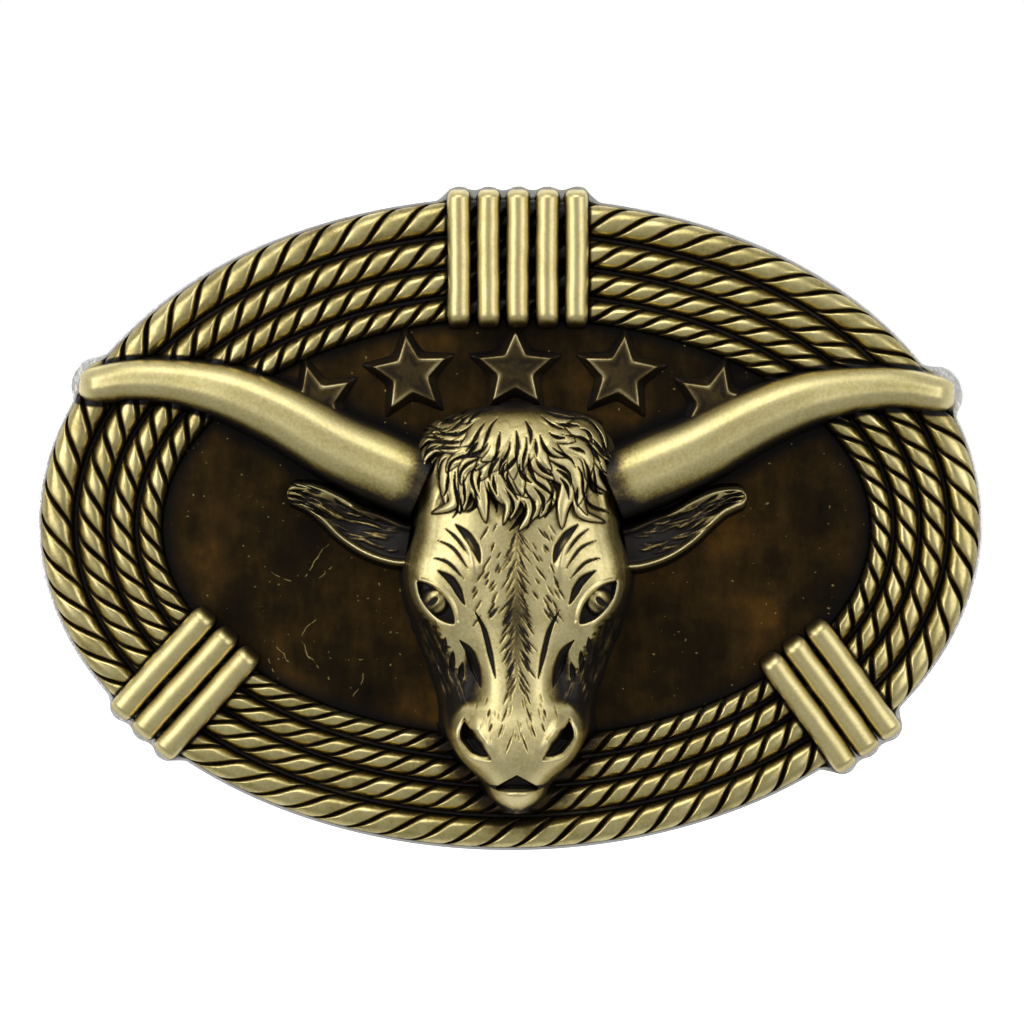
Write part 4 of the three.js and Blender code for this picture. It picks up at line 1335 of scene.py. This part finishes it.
def build_hook():
    """A turned flange, and the leaning stud with a domed tip that enters the strap's hole."""
    a = np.linspace(0, 2 * np.pi, 72, endpoint=False)[None, :]
    # Radius, height off the seat, patina.
    flange = np.array([
        [0.02, 0.0, 1.0], [4.2, 0.0, 0.9], [4.38, 0.1, 0.3], [4.4, 0.35, 0.1], [4.36, 0.6, 0.05],
        [4.2, 0.78, 0.1], [3.95, 0.88, 0.35], [3.7, 1.0, 0.45], [3.5, 1.17, 0.2], [3.1, 1.2, 0.25],
        [2.75, 1.2, 0.85], [2.2, 1.2, 1.0], [0.02, 1.2, 1.0]])
    stud = np.array([
        [0.02, 1.5, 1.0], [2.3, 1.5, 0.95], [2.48, 1.6, 0.7], [2.42, 1.9, 0.45], [2.26, 2.3, 0.3],
        [2.18, 2.8, 0.2], [2.12, 3.6, 0.1], [2.08, 4.6, 0.05], [2.0, 6.6, 0.05], [1.99, 7.6, 0.05],
        [1.95, 8.2, 0.02], [1.8, 8.75, 0.0], [1.55, 9.2, 0.0], [1.2, 9.55, 0.0], [0.75, 9.78, 0.02],
        [0.3, 9.88, 0.05], [0.02, 9.9, 0.05]])
    for name, profile, material, slot in (("hook_flange", flange, PLATE_METAL, "plate_metal"),
                                          ("hook_stud", stud, WIRE_METAL, "wire")):
        radius, rise, dark = (column[:, None] for column in profile.T)
        lean = -HOOK_LEAN * (np.maximum(rise - 1.5, 0) / 8.4) ** 2
        local = np.broadcast_arrays(lean + radius * np.cos(a), rise, radius * np.sin(a))
        sweep(name + "_turned", name, on_back(np.stack(local, axis=-1), HOOK_X), dark, material)


def bail_path():
    """The wire's centreline in x and z, from the upper pin's end round to the lower's."""
    upper = [(HINGE[0], PIN_END_Z), (HINGE[0], ARM_Z - HINGE_BEND)]
    corners = [
        (HINGE[0] + HINGE_BEND, ARM_Z - HINGE_BEND, HINGE_BEND, math.pi),
        (BAR_X - BAR_BEND, ARM_Z - BAR_BEND, BAR_BEND, math.pi / 2),
    ]
    for cx, cz, radius, start in corners:
        for t in np.linspace(0, 1, 14):
            turn = start - t * math.pi / 2
            upper.append((cx + radius * math.cos(turn), cz + radius * math.sin(turn)))
    upper = np.array(upper)
    path = np.concatenate([upper, upper[::-1] * [1, -1]])
    steps = arc_length(path)
    s = np.arange(0, steps[-1], WIRE_STEP)
    return np.stack([np.interp(s, steps, path[:, 0]), np.interp(s, steps, path[:, 1])], axis=1), s


def build_bail():
    """One bent round wire with domed pin ends, rubbed bright along the strap bar."""
    path, s = bail_path()
    normal = turned_left(unit(np.gradient(path, axis=0)))
    a = np.linspace(0, 2 * np.pi, 28, endpoint=False)[None, :]
    from_end = np.minimum(s, s[-1] - s)
    dome = np.maximum(rounded(from_end, 0.6), math.sqrt(0.02))
    radius = (WIRE_RADIUS * (0.55 + 0.45 * dome))[:, None]
    x = path[:, 0:1] + normal[:, 0:1] * radius * np.cos(a)
    z = path[:, 1:2] + normal[:, 1:2] * radius * np.cos(a)
    points = np.stack([x, HINGE[1] + radius * np.sin(a), z], axis=-1)
    rubbed = smooth(BAR_X - 4, BAR_X - 1, path[:, 0:1])
    patina = 0.32 - 0.22 * rubbed + 0.35 * smooth(18.8, 17.6, np.abs(path[:, 1:2])) * (1 - rubbed)
    sweep("belt_bail_wire", "belt_bail", points, patina, WIRE_METAL, body="bail")


# ---- Camera, light and floor ----
FRAME_WIDTH = 105.5             # millimetres across the picture at the buckle's face
CAMERA_DISTANCE = 620.0
CAMERA_AT = (0.2, 1.15)         # millimetres right of and above the buckle's middle
FACE_DEPTH = 4.0
FLOOR_GAP = 0.4
FLOOR_HALF = 2500.0
# Name, place and size in metres, power in watts.
SOFTBOXES = [
    ("left", (-0.42, -0.34, 0.10), 0.42, 1.05), ("right", (0.42, -0.34, 0.10), 0.42, 0.72),
    ("above", (-0.05, -0.30, 0.46), 0.42, 1.10), ("behind", (0.0, 0.55, 0.30), 0.5, 0.75),
]
SENSOR = 36.0


def build_stage():
    camera = bpy.data.cameras.new("camera")
    camera.sensor_width = SENSOR
    camera.lens = SENSOR * CAMERA_DISTANCE / FRAME_WIDTH
    camera.clip_start = 0.01
    view = add_object("camera", camera)
    view.location = (CAMERA_AT[0] * MM, -(CAMERA_DISTANCE + FACE_DEPTH) * MM, CAMERA_AT[1] * MM)
    view.rotation_euler = (math.radians(90), 0, 0)
    bpy.context.scene.camera = view

    mesh = bpy.data.meshes.new("floor")
    size = FLOOR_HALF * MM
    low = cad_bounds[0][2] - FLOOR_GAP * MM
    corners = [(-size, -size, low), (size, -size, low), (size, size, low), (-size, size, low)]
    mesh.from_pydata(corners, [], [(0, 1, 2, 3)])
    n = Nodes(bpy.data.materials.new("floor_white"))
    n.set(Base_Color=(0.8, 0.8, 0.8, 1), Roughness=0.9, Specular_IOR_Level=0.0)
    n.set(Emission_Color=(1, 1, 1, 1), Emission_Strength=1.0)
    mesh.materials.append(n.owner)
    floor = add_object("floor", mesh)
    # The floor is a white backdrop only: the metal mirrors the tent, not the floor.
    floor.visible_glossy = False
    floor.visible_diffuse = False

    for softbox in SOFTBOXES:
        add_softbox(*softbox)
    build_world()


def add_softbox(name, place, size, power):
    """A square light that faces the buckle."""
    light = bpy.data.lights.new(name, "AREA")
    light.size = size
    light.energy = power
    obj = add_object(name, light)
    obj.location = place
    yaw = math.atan2(-place[0], place[1])
    pitch = math.atan2(math.hypot(place[0], place[1]), place[2])
    obj.rotation_euler = (pitch, 0, yaw + math.pi)


def build_world():
    """White to the camera; to the metal a tent, grey in front of it and paler behind."""
    world = bpy.data.worlds.new("studio")
    bpy.context.scene.world = world
    n = Nodes(world)
    n.tree.nodes.clear()
    place = n.add("ShaderNodeTexCoord").outputs["Generated"]
    backwards = n.add("ShaderNodeSeparateXYZ", {0: place}).outputs["Y"]
    glow = n.spread(backwards, -0.1, 0.6, 0.38, 0.95)
    tent = n.add("ShaderNodeBackground", {"Color": (0.96, 0.98, 1.0, 1), "Strength": glow})
    white = n.add("ShaderNodeBackground", {"Color": (1, 1, 1, 1), "Strength": 1.0})
    camera_ray = n.add("ShaderNodeLightPath").outputs["Is Camera Ray"]
    mix = n.add("ShaderNodeMixShader", {"Fac": camera_ray, 1: tent.outputs[0], 2: white.outputs[0]})
    n.add("ShaderNodeOutputWorld", {"Surface": mix.outputs[0]})


bpy.context.scene.view_settings.view_transform = "Standard"
build_stage()
build_plate()
build_panel()
for rope in ROPES:
    build_rope(*rope)
build_wraps()
for star in range(-2, 3):
    build_star(star)
for word, hand in (("left", -1), ("right", 1)):
    build_horn(f"horn_{word}", hand)
    build_ear(f"ear_{word}", hand)
build_head()
for word in ("upper", "lower"):
    build_lug(f"bail_lug_{word}")
build_hook()
build_bail()
